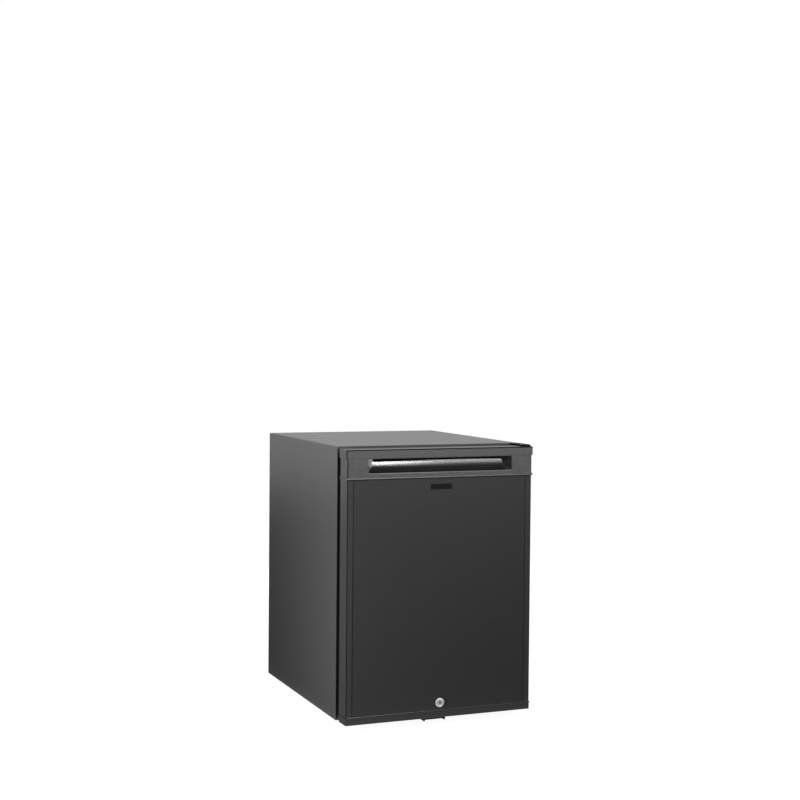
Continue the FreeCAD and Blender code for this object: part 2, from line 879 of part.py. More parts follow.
def lamp():
    """A strip lamp under the roof: opaque base, clear lens."""
    half = s.lamp_wide / 2
    y = front_y + s.lamp_back
    low = inner_top - s.lamp_tall
    base = block("lamp_housing", (-half, half), (y, y + s.lamp_deep), (low, inner_top))
    inset = s.lens_inset
    lens = block("lamp_lens", (-half + inset, half - inset), (y + inset, y + s.lamp_deep - inset),
                 (low - s.lens_tall, low))
    under = low - s.lens_tall
    lens.bevel("X", s.lens_inset / 2, (y + inset, under), (y + s.lamp_deep - inset, under))
    return base, lens


def door_switch():
    """A plain reed switch housing under the roof, over the door's magnet."""
    half = s.switch_wide / 2
    y = front_y + s.switch_in
    low = inner_top - s.switch_tall
    return block("door_switch", (-half, half), (y, y + s.switch_deep), (low, inner_top))


def thermostat():
    """The control box on the right-hand wall with its turned knob and shaft."""
    wall = inner_half
    face = inner_half - s.stat_thick
    y = front_y + s.stat_in
    top = inner_top - s.stat_drop
    box = block("thermostat_housing", (face, wall), (y, y + s.stat_deep), (top - s.stat_tall, top))
    box.bevel("X", s.box_round, (y, top - s.stat_tall), (y, top), (y + s.stat_deep, top - s.stat_tall),
              (y + s.stat_deep, top))
    centre = (y + s.stat_deep / 2, top - s.stat_tall / 2)
    box.pocket("YZ", face - s.overrun, face + s.knob_shaft_long + s.run_clear,
               (centre[0], centre[1], s.knob_shaft + s.run_clear))
    knob = Piece("thermostat_knob")
    back = face - s.knob_gap
    front = back - s.knob_tall
    knob.pad("YZ", front, back, many_sided(centre[0], centre[1], s.knob_radius, KNOB_SIDES))
    knob.pad("YZ", back, face + s.knob_shaft_long, (centre[0], centre[1], s.knob_shaft))
    over = s.knob_radius + s.overrun
    for side in (-1, 1):
        near, far = ordered(s.knob_radius * KNOB_GRIP_SHARE * side, over * side)
        knob.pocket("YZ", front - s.overrun, front + s.knob_grip_tall,
                    frame(centre[0] + near, centre[0] + far, centre[1] - over, centre[1] + over))
    return box, knob


# Door

def bush_outline():
    """The six-sided seat that keeps a hinge bush from turning in the door."""
    return many_sided(hinge_x, hinge_y, s.bush_radius, NUT_SIDES)


def lock_seat():
    """The flat-sided hole that keeps the lock's body from turning in the panel."""
    return many_sided(0, lock_z, s.lock_body, TUBE_SIDES)


def rail(label, side):
    """An extruded side rail: front face, panel ledge, web and back lip."""
    x = half_wide
    wall = s.rail_wall
    ledge = s.rail_wide + s.rail_ledge
    outline = [
        (x, door_front), (x, door_back), (x - s.rail_back_lip, door_back),
        (x - s.rail_back_lip, door_back - wall), (x - wall, door_back - wall), (x - wall, ledge_back),
        (x - ledge, ledge_back), (x - ledge, panel_back), (x - s.rail_wide, panel_back),
        (x - s.rail_wide, door_front),
    ]
    piece = Piece(label)
    mirrored = [(u * side, v) for u, v in outline]
    piece.pad("XY", trim_top, mould_low, mirrored)
    piece.round("Z", s.rail_round, (x * side, door_front))
    piece.round("Z", s.rail_round / 2, ((x - s.rail_wide) * side, door_front))
    return piece


def decor_panel():
    piece = Piece("decor_panel")
    x = half_wide - s.rail_wide - s.panel_groove
    piece.pad("XZ", panel_front, panel_back, frame(-x, x, trim_top, mould_low))
    piece.pocket("XZ", panel_front - s.overrun, panel_back + s.overrun, lock_seat())
    return piece


def handle_moulding():
    piece = Piece("handle_moulding")
    wall = s.mould_wall
    piece.pad("XZ", door_front, door_back, frame(-half_wide, half_wide, mould_low, door_top))
    cap = half_wide + s.cap_side_proud
    piece.pad("XZ", door_front - s.cap_front_proud, door_back, frame(-cap, cap, cap_low, door_top))
    bead = half_wide + s.bead_side_proud
    bead_top = mould_low + s.bead_tall
    piece.pad("XZ", door_front - s.bead_front_proud, door_back, frame(-bead, bead, mould_low, bead_top))
    inner = half_wide - wall
    piece.pocket("XZ", door_front + wall, door_back + s.overrun,
                 frame(-inner, inner, mould_low - s.overrun, door_top - wall))
    piece.pocket("XZ", door_front - s.overrun, door_front + wall + s.overrun,
                 frame(-scoop_half, scoop_half, scoop_low, scoop_top))
    piece.pocket("XY", door_top - wall - s.overrun, door_top + s.overrun, bush_outline())
    piece.round("X", s.lip_round, (door_front, scoop_low))
    piece.round("X", s.rail_round, (door_front - s.cap_front_proud, door_top))
    return piece


def scoop_outline(wall):
    """The scoop's section at one distance outside its hollow: a ramp that curls up to the back."""
    front = door_front + s.mould_wall
    back = door_front + s.scoop_deep + wall
    roof = scoop_top + s.scoop_rise + wall
    return [(front - s.overrun, scoop_low - wall), arc(front, scoop_low - wall, s.scoop_radius + wall, 1),
            (back, scoop_top), (back, roof), (front - s.overrun, roof)]


def handle_scoop():
    """The finger scoop: a trough of one wall with a curved ramp and mitred ends."""
    piece = Piece("handle_scoop")
    front = door_front + s.mould_wall
    back = door_front + s.scoop_deep
    wall = s.scoop_wall
    outer = scoop_half + wall
    low = scoop_low - wall
    top = scoop_top + s.scoop_rise + wall
    piece.pad("XZ", front, back + wall, frame(-outer, outer, low, top))
    piece.pocket("YZ", -scoop_half, scoop_half, scoop_outline(0))
    depth = back - front
    for side in (-1, 1):
        end = scoop_half * side
        tip = (scoop_half - depth) * side
        piece.pad("XY", low, top, [(end, front), (end, back), (tip, back)])
    over = s.overrun
    corner = [arc(front, low, s.scoop_radius + wall, 1), (back + wall, scoop_top),
              (back + wall + over, scoop_top), (back + wall + over, low - over), (front, low - over)]
    piece.pocket("YZ", -outer, outer, corner)
    return piece


def bottom_trim():
    piece = Piece("bottom_trim")
    wall = s.trim_wall
    piece.pad("XZ", door_front, door_back, frame(-half_wide, half_wide, door_low, trim_top))
    bead = half_wide + s.trim_bead_proud
    piece.pad("XZ", door_front, door_back, frame(-bead, bead, trim_top - s.trim_bead_tall, trim_top))
    inner = half_wide - wall
    piece.pocket("XY", door_low + wall, trim_top + s.overrun,
                 frame(-inner, inner, door_front + wall, door_back - wall))
    piece.pocket("XY", door_low - s.overrun, door_low + wall + s.overrun,
                 bush_outline(),
                 frame(-s.cam_wide / 2 - s.cam_room, s.cam_long + s.cam_room,
                       cam_front - s.cam_room, cam_front + s.cam_thick + s.cam_room))
    piece.round("X", s.rail_round / 2, (door_front, trim_top), (door_front, door_low))
    return piece


def door_foam():
    """The foam core, hollowed for the scoop, the lock, the cam's swing and the bushes."""
    piece = Piece("door_foam")
    x = half_wide
    ledge = s.rail_wide + s.rail_ledge
    right = [(x - ledge, panel_back), (x - ledge, ledge_back), (x - s.rail_wall, ledge_back),
             (x - s.rail_wall, door_back - s.rail_wall), (x - s.rail_back_lip, door_back - s.rail_wall),
             (x - s.rail_back_lip, door_back)]
    left = [(-u, v) for u, v in reversed(right)]
    piece.pad("XY", trim_top, mould_low, right + left)
    inner = half_wide - s.mould_wall
    piece.pad("XY", mould_low, door_top - s.mould_wall,
              frame(-inner, inner, door_front + s.mould_wall, door_back))
    inner = half_wide - s.trim_wall
    piece.pad("XY", door_low + s.trim_wall, trim_top,
              frame(-inner, inner, door_front + s.trim_wall, door_back - s.trim_wall))
    outer = scoop_half + s.scoop_wall
    piece.pocket("YZ", -outer, outer, scoop_outline(s.scoop_wall))
    piece.pocket("XZ", panel_back - s.overrun, door_front + s.lock_body_long,
                 many_sided(0, lock_z, s.lock_nut_flats * NUT_ROOM_SHARE, TUBE_SIDES))
    reach = s.cam_long + s.cam_room
    piece.pocket("XZ", cam_front - s.cam_room, cam_front + s.cam_thick + s.cam_room * 2,
                 frame(-s.cam_wide / 2 - s.cam_room, reach, door_low, lock_z + s.cam_wide / 2 + s.cam_room))
    for low, high in ((door_top - s.bush_long, door_top), (door_low, door_low + s.bush_long)):
        piece.pocket("XY", low, high, bush_outline())
    return piece


def door_liner():
    """The door's inner skin with the raised dam that carries the racks."""
    piece = Piece("door_liner")
    x = half_wide - s.door_liner_margin
    face = door_back + s.door_liner_wall
    piece.pad("XZ", door_back, face,
              frame(-x, x, door_low + s.door_liner_margin, door_top - s.door_liner_margin))
    out = inner_half - s.dam_clear
    inn = out - s.dam_thick
    low = inner_low + s.dam_clear
    high = inner_top - s.dam_clear
    piece.pad("XZ", face, face + s.dam_rise, frame(-out, out, low, high),
              frame(-inn, inn, low + s.dam_thick, high - s.dam_thick))
    back = face + s.dam_rise
    piece.bevel("X", s.dam_bevel, (back, low), (back, high))
    piece.bevel("Z", s.dam_bevel, (-out, back), (out, back))
    half = s.magnet_wide / 2
    piece.pocket("XZ", back - s.magnet_deep, back + s.overrun,
                 frame(-half, half, high - s.dam_bevel - s.magnet_tall, high - s.dam_bevel))
    return piece


def switch_magnet():
    half = s.magnet_wide / 2
    back = door_back + s.door_liner_wall + s.dam_rise
    high = inner_top - s.dam_clear - s.dam_bevel
    return block("switch_magnet", (-half, half), (back - s.magnet_deep, back), (high - s.magnet_tall, high))


def gasket():
    """The magnetic seal: a foot in the liner, a bellows neck and the magnet head."""
    piece = Piece("gasket")
    centre = s.gasket_centre_out
    foot = door_back + s.door_liner_wall
    head = frame_front - s.seal_clear
    neck = head - s.gasket_head_tall
    layers = (
        (foot, foot + s.gasket_foot_tall, s.gasket_foot),
        (foot + s.gasket_foot_tall, neck, s.gasket_neck),
        (neck, head, s.gasket_head),
    )
    for low, high, wide in layers:
        out = centre + wide / 2
        inn = centre - wide / 2
        piece.pad("XZ", low, high,
                  frame(-inner_half - out, inner_half + out, inner_low - out, inner_top + out),
                  frame(-inner_half - inn, inner_half + inn, inner_low - inn, inner_top + inn))
    return piece


def tray_outline(half, near, far, radius):
    """A rectangle whose two far corners are rounded."""
    return [(-half, near), (half, near), arc(half, far - radius, radius, 1), (half - radius, far),
            arc(-half + radius, far, radius, 1), (-half, far - radius)]


def rack(label, low, tall):
    """A moulded bottle rack hung between the dam's sides."""
    piece = Piece(label)
    half = inner_half - s.dam_clear - s.dam_thick - s.rack_clear
    near = door_back + s.door_liner_wall + s.seal_clear
    far = door_back + s.rack_reach
    wall = s.rack_wall
    piece.pad("XY", low, low + tall, tray_outline(half, near, far, s.rack_round))
    piece.pocket("XY", low + wall, low + tall + s.overrun,
                 tray_outline(half - wall, near + wall, far - wall, s.rack_round - wall))
    piece.pocket("XZ", near - s.overrun, near + wall + s.overrun / 2,
                 frame(-half + s.rack_round, half - s.rack_round, low + s.rack_back_tall,
                       low + tall + s.overrun))
    lug_low = low + s.rack_back_tall - s.rack_lug_tall
    for side in (-1, 1):
        lug = ordered(half * side, (half + s.rack_clear - s.seal_clear) * side)
        piece.pad("XY", lug_low, lug_low + s.rack_lug_tall, frame(*lug, near, near + s.rack_lug_wide))
    return piece


# Hinges, screws and the keeper

def hinge_screw_places(z):
    """Centres of a hinge flange's two screws at one height."""
    first = half_wide - s.hinge_wide + s.screw_from_edge
    return [(first, z), (first + s.screw_pitch, z)]


def hinge_flange(label, low, high):
    """The part of an angle bracket that is screwed on the cabinet's face."""
    piece = Piece(label)
    piece.pad("XZ", front_y - s.hinge_flange_thick, front_y,
              frame(half_wide - s.hinge_wide, half_wide - s.hinge_flange_inset, low, high))
    return piece


def top_hinge_plate():
    """The flat top bracket: its arm covers the door's corner up to the front edge."""
    piece = hinge_flange("top_hinge_plate", top_z - s.hinge_flange_tall, top_z)
    low = door_top + s.hinge_gap
    left = half_wide - s.hinge_arm_wide
    tip = door_front + s.hinge_front_set
    piece.pocket("XZ", front_y - s.hinge_flange_thick - s.overrun, front_y + s.overrun,
                 frame(half_wide - s.hinge_wide - s.overrun, left, top_z - s.hinge_notch,
                       top_z + s.overrun))
    piece.pad("XY", low, top_z, frame(left, half_wide, tip, front_y))
    piece.round("Z", s.hinge_round, (left, tip), (half_wide, tip))
    piece.pocket("XY", low - s.overrun, top_z + s.overrun, (hinge_x, hinge_y, s.pin_radius))


def bottom_hinge_plate():
    """The narrow bottom bracket with a rounded end under the door."""
    piece = hinge_flange("bottom_hinge_plate", bracket_low, low_z + s.hinge_flange_tall)
    high = bracket_low + s.hinge_thick
    end = s.hinge_end_radius
    piece.pad("XY", bracket_low, high, frame(hinge_x - end, hinge_x + end, hinge_y, front_y))
    piece.pad("XY", bracket_low, high, (hinge_x, hinge_y, end))
    piece.pocket("XY", bracket_low - s.overrun, high + s.overrun, (hinge_x, hinge_y, s.pin_radius))


def hinge_pins():
    """The pins of both brackets and the bushes that turn on them."""
    pins = (("top_hinge_pin", door_top - s.pin_reach, top_z),
            ("bottom_hinge_pin", bracket_low, door_low + s.pin_reach))
    for label, low, high in pins:
        pin = Piece(label)
        pin.pad("XY", low, high, (hinge_x, hinge_y, s.pin_radius))
    bore = s.pin_radius + s.run_clear
    bushes = (("top_bush", door_top - s.bush_long, door_top),
              ("bottom_bush", door_low, door_low + s.bush_long))
    for label, low, high in bushes:
        bush = Piece(label)
        bush.pad("XY", low, high, bush_outline())
        bush.pocket("XY", low - s.overrun, high + s.overrun, (hinge_x, hinge_y, bore))


def screw_head(place_at, turn):
    """The six-sided head of a bracket screw, standing off along its axis."""
    head = doc.addObject("Part::Prism", "ScrewHead")
    head.Polygon = NUT_SIDES
    bind(head, "Circumradius", s.screw_head)
    bind(head, "Height", s.screw_head_tall)
    head.Placement = Placement(Vector(), turn)
    for axis, size in zip("xyz", place_at):
        bind(head, f"Placement.Base.{axis}", size)
    return head


def lock_barrel():
    """The lock's housing through the panel, and the nut that clamps it from behind."""
    face = door_front - s.lock_proud
    end = door_front + s.lock_body_long
    barrel = Piece("lock_barrel")
    barrel.pad("XZ", face, panel_front, (0, lock_z, s.lock_flange))
    barrel.pad("XZ", panel_front, end, lock_seat())
    barrel.pocket("XZ", face - s.overrun, end + s.overrun, (0, lock_z, s.plug_radius + s.run_clear))
    nut = Piece("lock_nut")
    nut_back = panel_back + s.lock_nut_thick
    nut.pad("XZ", panel_back, nut_back, nut_outline(s.lock_nut_flats))
    nut.pocket("XZ", panel_back - s.overrun, nut_back + s.overrun, lock_seat())


def lock_plug():
    """The plug with its cross key slot, the cam on its square post and the nut that holds it."""
    face = door_front - s.lock_proud + s.plug_sunk
    post = s.plug_post / 2
    cam_back = cam_front + s.cam_thick
    square = frame(-post, post, lock_z - post, lock_z + post)
    plug = Piece("lock_plug")
    plug.pad("XZ", face, cam_front, (0, lock_z, s.plug_radius))
    plug.pad("XZ", cam_front, cam_back, square)
    long = s.key_slot_long / 2
    wide = s.key_slot_wide / 2
    for u, v in ((long, wide), (wide, long)):
        plug.pocket("XZ", face - s.overrun, face + s.key_slot_deep, frame(-u, u, lock_z - v, lock_z + v))
    cam = Piece("lock_cam")
    arm = s.cam_wide / 2
    end = s.cam_long - s.cam_corner
    corner = arm - s.cam_corner
    outline = [(-corner, lock_z - arm), (end, lock_z - arm), (s.cam_long, lock_z - corner),
               (s.cam_long, lock_z + corner), (end, lock_z + arm), (-corner, lock_z + arm),
               (-arm, lock_z + corner), (-arm, lock_z - corner)]
    cam.pad("XZ", cam_front, cam_back, outline)
    cam.pocket("XZ", cam_front - s.overrun, cam_back + s.overrun, square)
    nut = Piece("cam_nut")
    nut.pad("XZ", cam_back, cam_back + s.cam_nut_thick, nut_outline(s.cam_nut_flats))


def nut_outline(flats):
    """The six sides of a nut on the lock's axis, from its width across the flats."""
    return many_sided(0, lock_z, flats / (2 * math.cos(math.pi / NUT_SIDES)), NUT_SIDES)


def keeper_places():
    """Depths of the keeper's front edge, step, foot and back edge."""
    tip = door_front + s.keeper_from_front
    step = front_y + s.keeper_thick
    foot = step + s.keeper_step_long
    return tip, step, foot, foot + s.keeper_foot_long


def lock_keeper():
    """A pressed channel under the door whose slot takes the cam, screwed to the base."""
    piece = Piece("lock_keeper")
    tip, step, foot, end = keeper_places()
    half = s.keeper_wide / 2
    top = door_low - s.keeper_drop
    thick = s.keeper_thick
    low = top - thick
    under = low_z - thick
    outline = [(tip, low), (step, low), (foot, under), (end, under), (end, low_z), (foot, low_z),
               (step, top), (tip, top)]
    piece.pad("YZ", -half, half, outline)
    for left, right in ((-half, -half + thick), (half - thick, half)):
        piece.pad("XY", low - s.keeper_flange_tall, low, frame(left, right, tip, step))
    slot = tip + s.keeper_lip
    piece.pocket("XY", low - s.overrun, top + s.overrun,
                 frame(-s.keeper_slot_half, s.keeper_slot_half, slot, slot + s.keeper_slot_long))


def bracket_screws():
    """Screw heads on the two hinge brackets and the keeper."""
    ahead = Rotation(Vector(1, 0, 0), 90)
    down = Rotation(Vector(1, 0, 0), 180)
    face = front_y - s.hinge_flange_thick
    made = [screw_head((x, face, z), ahead)
            for x, z in hinge_screw_places(top_screw_z) + hinge_screw_places(low_screw_z)]
    tip, step, foot, end = keeper_places()
    for side in (-1, 1):
        spot = (s.screw_pitch / 2 * side, (foot + end) / 2, low_z - s.keeper_thick)
        made.append(screw_head(spot, down))
    return group("bracket_screws", made)


# Drain and cooling unit

def drain():
    """The drain tube through the back wall and the cup that it empties into."""
    out = recess_y + s.drain_out
    start = inner_back - s.gutter_wall
    foot = drain_z - s.drain_down
    points = [at_point(0, start, drain_z), at_point(0, out, drain_z), at_point(0, out, foot)]
    tube("drain_tube", points, s.drain_radius, s.drain_bend)
    rim = foot + s.cup_lap
    half = s.cup_wide / 2
    wall = s.cup_wall
    cup = block("drip_cup", (-half, half), (recess_y, recess_y + s.cup_deep), (rim - s.cup_tall, rim))
    cup.pocket("XY", rim - s.cup_tall + wall, rim + s.overrun,
               frame(-half + wall, half - wall, recess_y + wall, recess_y + s.cup_deep - wall))


def boiler():
    """The insulated boiler can with the heater cartridge let into its foot."""
    can = Piece("boiler_can")
    can.pad("XY", can_low, can_high, (can_x, unit_y, s.can_radius))
    x = can_x + s.heater_offset
    low = can_low - s.heater_out
    high = low + s.heater_long
    seat = many_sided(x, unit_y, s.heater_radius, NUT_SIDES)
    can.pocket("XY", can_low - s.overrun, high, seat)
    heater = Piece("heater_cartridge")
    heater.pad("XY", low, high, seat)


def condenser():
    """The rectifier rising from the can, the sloping finned tube and the feed to the evaporator."""
    corner = at_point(can_x, unit_y, condenser_z)
    end = at_point(condenser_left, unit_y, feed_z)
    along = (end - corner).normalize()
    joint = corner + along * s.condenser_start.value
    tube("rectifier_tube", [at_point(can_x, unit_y, can_high), corner, joint], s.tube_radius, s.tube_bend)
    core = keep("condenser_tube", straight(joint, end, s.tube_radius))
    near_y = recess_y + s.feed_from_panel
    out_x = condenser_left - s.feed_out
    inside = end.x - (along * s.small_radius.value).x
    feed = tube("feed_tube", [at_point(inside, unit_y, feed_z), at_point(out_x, unit_y, feed_z),
                              at_point(out_x, near_y, feed_z), at_point(feed_x, near_y, feed_z),
                              at_point(feed_x, inner_back, feed_z)],
                s.small_radius, s.small_bend, cuts=(core,))
    wide = s.plate_wide.value
    turn = Rotation(Vector(-1, 0, 0), along)
    plates = []
    pitch = ((end - joint).Length - s.plate_start.value * 2) / (PLATE_COUNT - 1)
    for i in range(PLATE_COUNT):
        plate = Part.makeBox(s.plate_thick.value, wide, wide, Vector(0, -wide / 2, -wide / 2))
        reach = s.plate_start.value + pitch * i
        plate.Placement = Placement(end - along * reach, turn)
        plates.append(plate.cut(core.Shape))
    keep("condenser_fins", Part.makeCompound(plates))
    return feed


def absorber():
    """The vessel at the foot, the coil that rises from it, and the vent to the condenser."""
    vessel = Piece("absorber_vessel")
    vessel.pad("YZ", vessel_left, vessel_right, (unit_y, vessel_z, s.vessel_radius))
    levels = [low_z + s.coil_low + s.coil_pitch * i for i in reversed(range(COIL_PASSES))]
    head = at_point(coil_left, unit_y, levels[0] + s.coil_riser)
    points = [head]
    sides = [coil_left, coil_right]
    for level in levels:
        points += [at_point(sides[0], unit_y, level), at_point(sides[1], unit_y, level)]
        sides.reverse()
    points.append(at_point(coil_right, unit_y, vessel_z))
    tube("absorber_coil", points, s.tube_radius, s.coil_pitch / 2, cuts=(vessel.body,))
    return vessel, head


def unit_tubes(feed, vessel, coil_head):
    """The tubes that join coil, condenser, evaporator, vessel and boiler."""
    vent_top = at_point(coil_left, unit_y, feed_z)
    keep("vent_tube", trimmed(straight(coil_head, vent_top, s.vent_radius), (feed,)))
    gas_y = recess_y + s.gas_from_panel
    tube("gas_exchanger", [at_point(gas_x, inner_back, pipe_z), at_point(gas_x, gas_y, pipe_z),
                           at_point(gas_x, gas_y, vessel_z), at_point(gas_x, unit_y, vessel_z)],
         s.gas_radius, s.gas_bend, cuts=(vessel.body,))
    low = low_z + s.exchanger_rise
    tube("liquid_exchanger", [at_point(vessel_right, unit_y, low), at_point(can_x, unit_y, low),
                              at_point(can_x, unit_y, can_low)], s.small_radius, s.small_bend)


def unit_brackets():
    """Angle plates that hold the coil and the can to the cabinet's sides."""
    thick = s.bracket_thick
    wall = half_wide - s.steel
    low = low_z + s.bracket_rise
    high = low + s.bracket_tall
    face = unit_y - s.tube_radius
    left = Piece("unit_bracket_left")
    left.pad("XY", low, high, frame(-wall, coil_left, face - thick, face))
    left.pad("XY", low, high, frame(-wall, -wall + thick, face - s.bracket_flange, face))
    right = Piece("unit_bracket_right")
    front = unit_y - thick / 2
    right.pad("XY", low, high, frame(can_x + s.can_radius, wall, front, front + thick))
    right.pad("XY", low, high, frame(wall - thick, wall, front, unit_y + s.bracket_flange))


def terminal_box():
    """The moulded terminal box on the rear panel with its cord gland."""
    left = gas_x + s.gas_radius + s.box_gap
    right = left + s.box_wide
    low = can_high + s.box_can_gap
    back = recess_y + s.box_deep
    box = block("terminal_box", (left, right), (recess_y, back), (low, low + s.box_tall))
    box.round("Z", s.box_round, (left, back), (right, back))
    gland = Piece("cord_gland")
    x = (left + right) / 2
    y = (recess_y + back) / 2
    gland.pad("XY", low - s.gland_long, low, many_sided(x, y, s.gland_radius, NUT_SIDES))
    gland.pocket("XY", low - s.gland_long - s.overrun, low + s.overrun,
                 many_sided(x, y, s.gland_bore, TUBE_SIDES))


def report_and_write():
    """Stops on any failed object, then writes one STEP file for each piece."""
    doc.recompute()
    for thing in doc.Objects:
        if "Invalid" in thing.State or "Error" in thing.State:
            raise RuntimeError(f"{thing.Name} failed: {thing.State}")
    for piece in kept:
        shape = piece.Shape
        if shape.isNull() or not shape.isValid() or not shape.Solids:
            raise RuntimeError(f"{piece.Label} has no valid solid")
    os.makedirs("parts", exist_ok=True)
    for piece in kept:
        piece.Shape.exportStep(f"parts/{piece.Label}.step")
    print(f"{len(kept)} pieces written")


cabinet_shell()
cabinet_base()
rear_panel()
insulation_foam()
inner_liner()
front_frame()
feet()
evaporator()
drip_gutter()
rib_low, rib_high = shelf_ribs()
shelf("shelf_lower", rib_low)
shelf("shelf_upper", rib_high)
lamp()
door_switch()
thermostat()
rail("left_rail", -1)
rail("right_rail", 1)
decor_panel()
handle_moulding()
handle_scoop()
bottom_trim()
door_foam()
door_liner()
switch_magnet()
gasket()
rack("rack_lower", low_rack_z, s.rack_tall_low)
rack("rack_middle", middle_rack_z, s.rack_tall_middle)
rack("rack_upper", high_rack_z, s.rack_tall_high)
top_hinge_plate()
bottom_hinge_plate()
hinge_pins()
lock_barrel()
lock_plug()
lock_keeper()
bracket_screws()
drain()
boiler()
feed_body = condenser()
absorber_body, coil_head = absorber()
unit_tubes(feed_body, absorber_body, coil_head)
unit_brackets()
terminal_box()
report_and_write()
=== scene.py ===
import bpy
import bmesh
import json
import math
from mathutils import Matrix, Vector


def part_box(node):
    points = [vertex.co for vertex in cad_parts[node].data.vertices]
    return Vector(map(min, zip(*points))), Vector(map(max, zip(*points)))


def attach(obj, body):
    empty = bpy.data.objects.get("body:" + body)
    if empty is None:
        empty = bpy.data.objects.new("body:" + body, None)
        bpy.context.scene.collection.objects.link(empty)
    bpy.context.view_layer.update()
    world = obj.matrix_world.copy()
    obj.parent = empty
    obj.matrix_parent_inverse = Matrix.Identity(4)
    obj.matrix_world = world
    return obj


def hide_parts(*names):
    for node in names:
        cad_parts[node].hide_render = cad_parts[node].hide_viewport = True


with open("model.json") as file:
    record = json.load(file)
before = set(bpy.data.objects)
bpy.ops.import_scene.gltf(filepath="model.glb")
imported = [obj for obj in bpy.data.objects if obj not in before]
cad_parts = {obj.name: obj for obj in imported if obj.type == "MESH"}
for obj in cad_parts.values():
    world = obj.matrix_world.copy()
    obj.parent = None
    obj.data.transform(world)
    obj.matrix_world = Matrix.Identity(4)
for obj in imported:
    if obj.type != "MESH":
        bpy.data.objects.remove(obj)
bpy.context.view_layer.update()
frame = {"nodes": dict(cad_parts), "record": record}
nodes = frame["nodes"]
scene = bpy.context.scene
scene.view_settings.view_transform = "Standard"

# Sizes and places on the object are in millimetres, those of the floor, cards and lamps in metres.

MM_PER_METRE = 1000
UP = Vector((0, 0, 1))
DOWN = Vector((0, 0, -1))
FORWARD = Vector((0, -1, 0))
BACKWARD = Vector((0, 1, 0))
TO_RIGHT = Vector((1, 0, 0))


def mm(*values):
    """Millimetres of the part's frame as a point in metres."""
    return Vector([v / MM_PER_METRE for v in values])


class Span:
    """A node's box at rest, in millimetres."""

    def __init__(self, node):
        low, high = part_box(node)
        self.left, self.front, self.low = (round(v * MM_PER_METRE, 3) for v in low)
        self.right, self.back, self.high = (round(v * MM_PER_METRE, 3) for v in high)
        self.middle_x = (self.left + self.right) / 2
        self.middle_y = (self.front + self.back) / 2
        self.middle_z = (self.low + self.high) / 2


# Camera, fitted to the corners of cabinet and door in the photograph's frame

PICTURE_PIXELS = 800
FOCAL_PIXELS = 1456.37
CENTRE_PIXELS = (390.8, 384.7)
CAMERA_YAW, CAMERA_PITCH, CAMERA_ROLL = 22.128, -1.6099, 0.4811
CAMERA_PLACE = (-1188.22, -2899.14, 763.95)
SENSOR_WIDE = 36.0
VIEW_REACH = 50


def add_camera():
    yaw, pitch, roll = (math.radians(turn) for turn in (CAMERA_YAW, CAMERA_PITCH, CAMERA_ROLL))
    ahead = Vector((math.sin(yaw) * math.cos(pitch), math.cos(yaw) * math.cos(pitch), math.sin(pitch)))
    level = Vector((math.cos(yaw), -math.sin(yaw), 0))
    upright = level.cross(ahead)
    right = math.cos(roll) * level + math.sin(roll) * upright
    top = math.cos(roll) * upright - math.sin(roll) * level
    data = bpy.data.cameras.new("camera")
    data.sensor_width = SENSOR_WIDE
    data.lens = FOCAL_PIXELS / PICTURE_PIXELS * SENSOR_WIDE
    data.shift_x = (PICTURE_PIXELS / 2 - CENTRE_PIXELS[0]) / PICTURE_PIXELS
    data.shift_y = (CENTRE_PIXELS[1] - PICTURE_PIXELS / 2) / PICTURE_PIXELS
    data.clip_end = VIEW_REACH
    camera = bpy.data.objects.new("camera", data)
    axes = Matrix((right, top, -ahead)).transposed().to_4x4()
    camera.matrix_world = Matrix.Translation(mm(*CAMERA_PLACE)) @ axes
    scene.collection.objects.link(camera)
    scene.camera = camera


add_camera()


# Materials. Pattern scales are per metre, and depths and edge radii are in metres.

def srgb(level, tint=(1.0, 1.0, 1.0)):
    """A grey as it reads on screen, 0 to 255, as a linear colour."""
    share = level / 255
    linear = share / 12.92 if share <= 0.04045 else ((share + 0.055) / 1.055) ** 2.4
    return (linear * tint[0], linear * tint[1], linear * tint[2], 1.0)


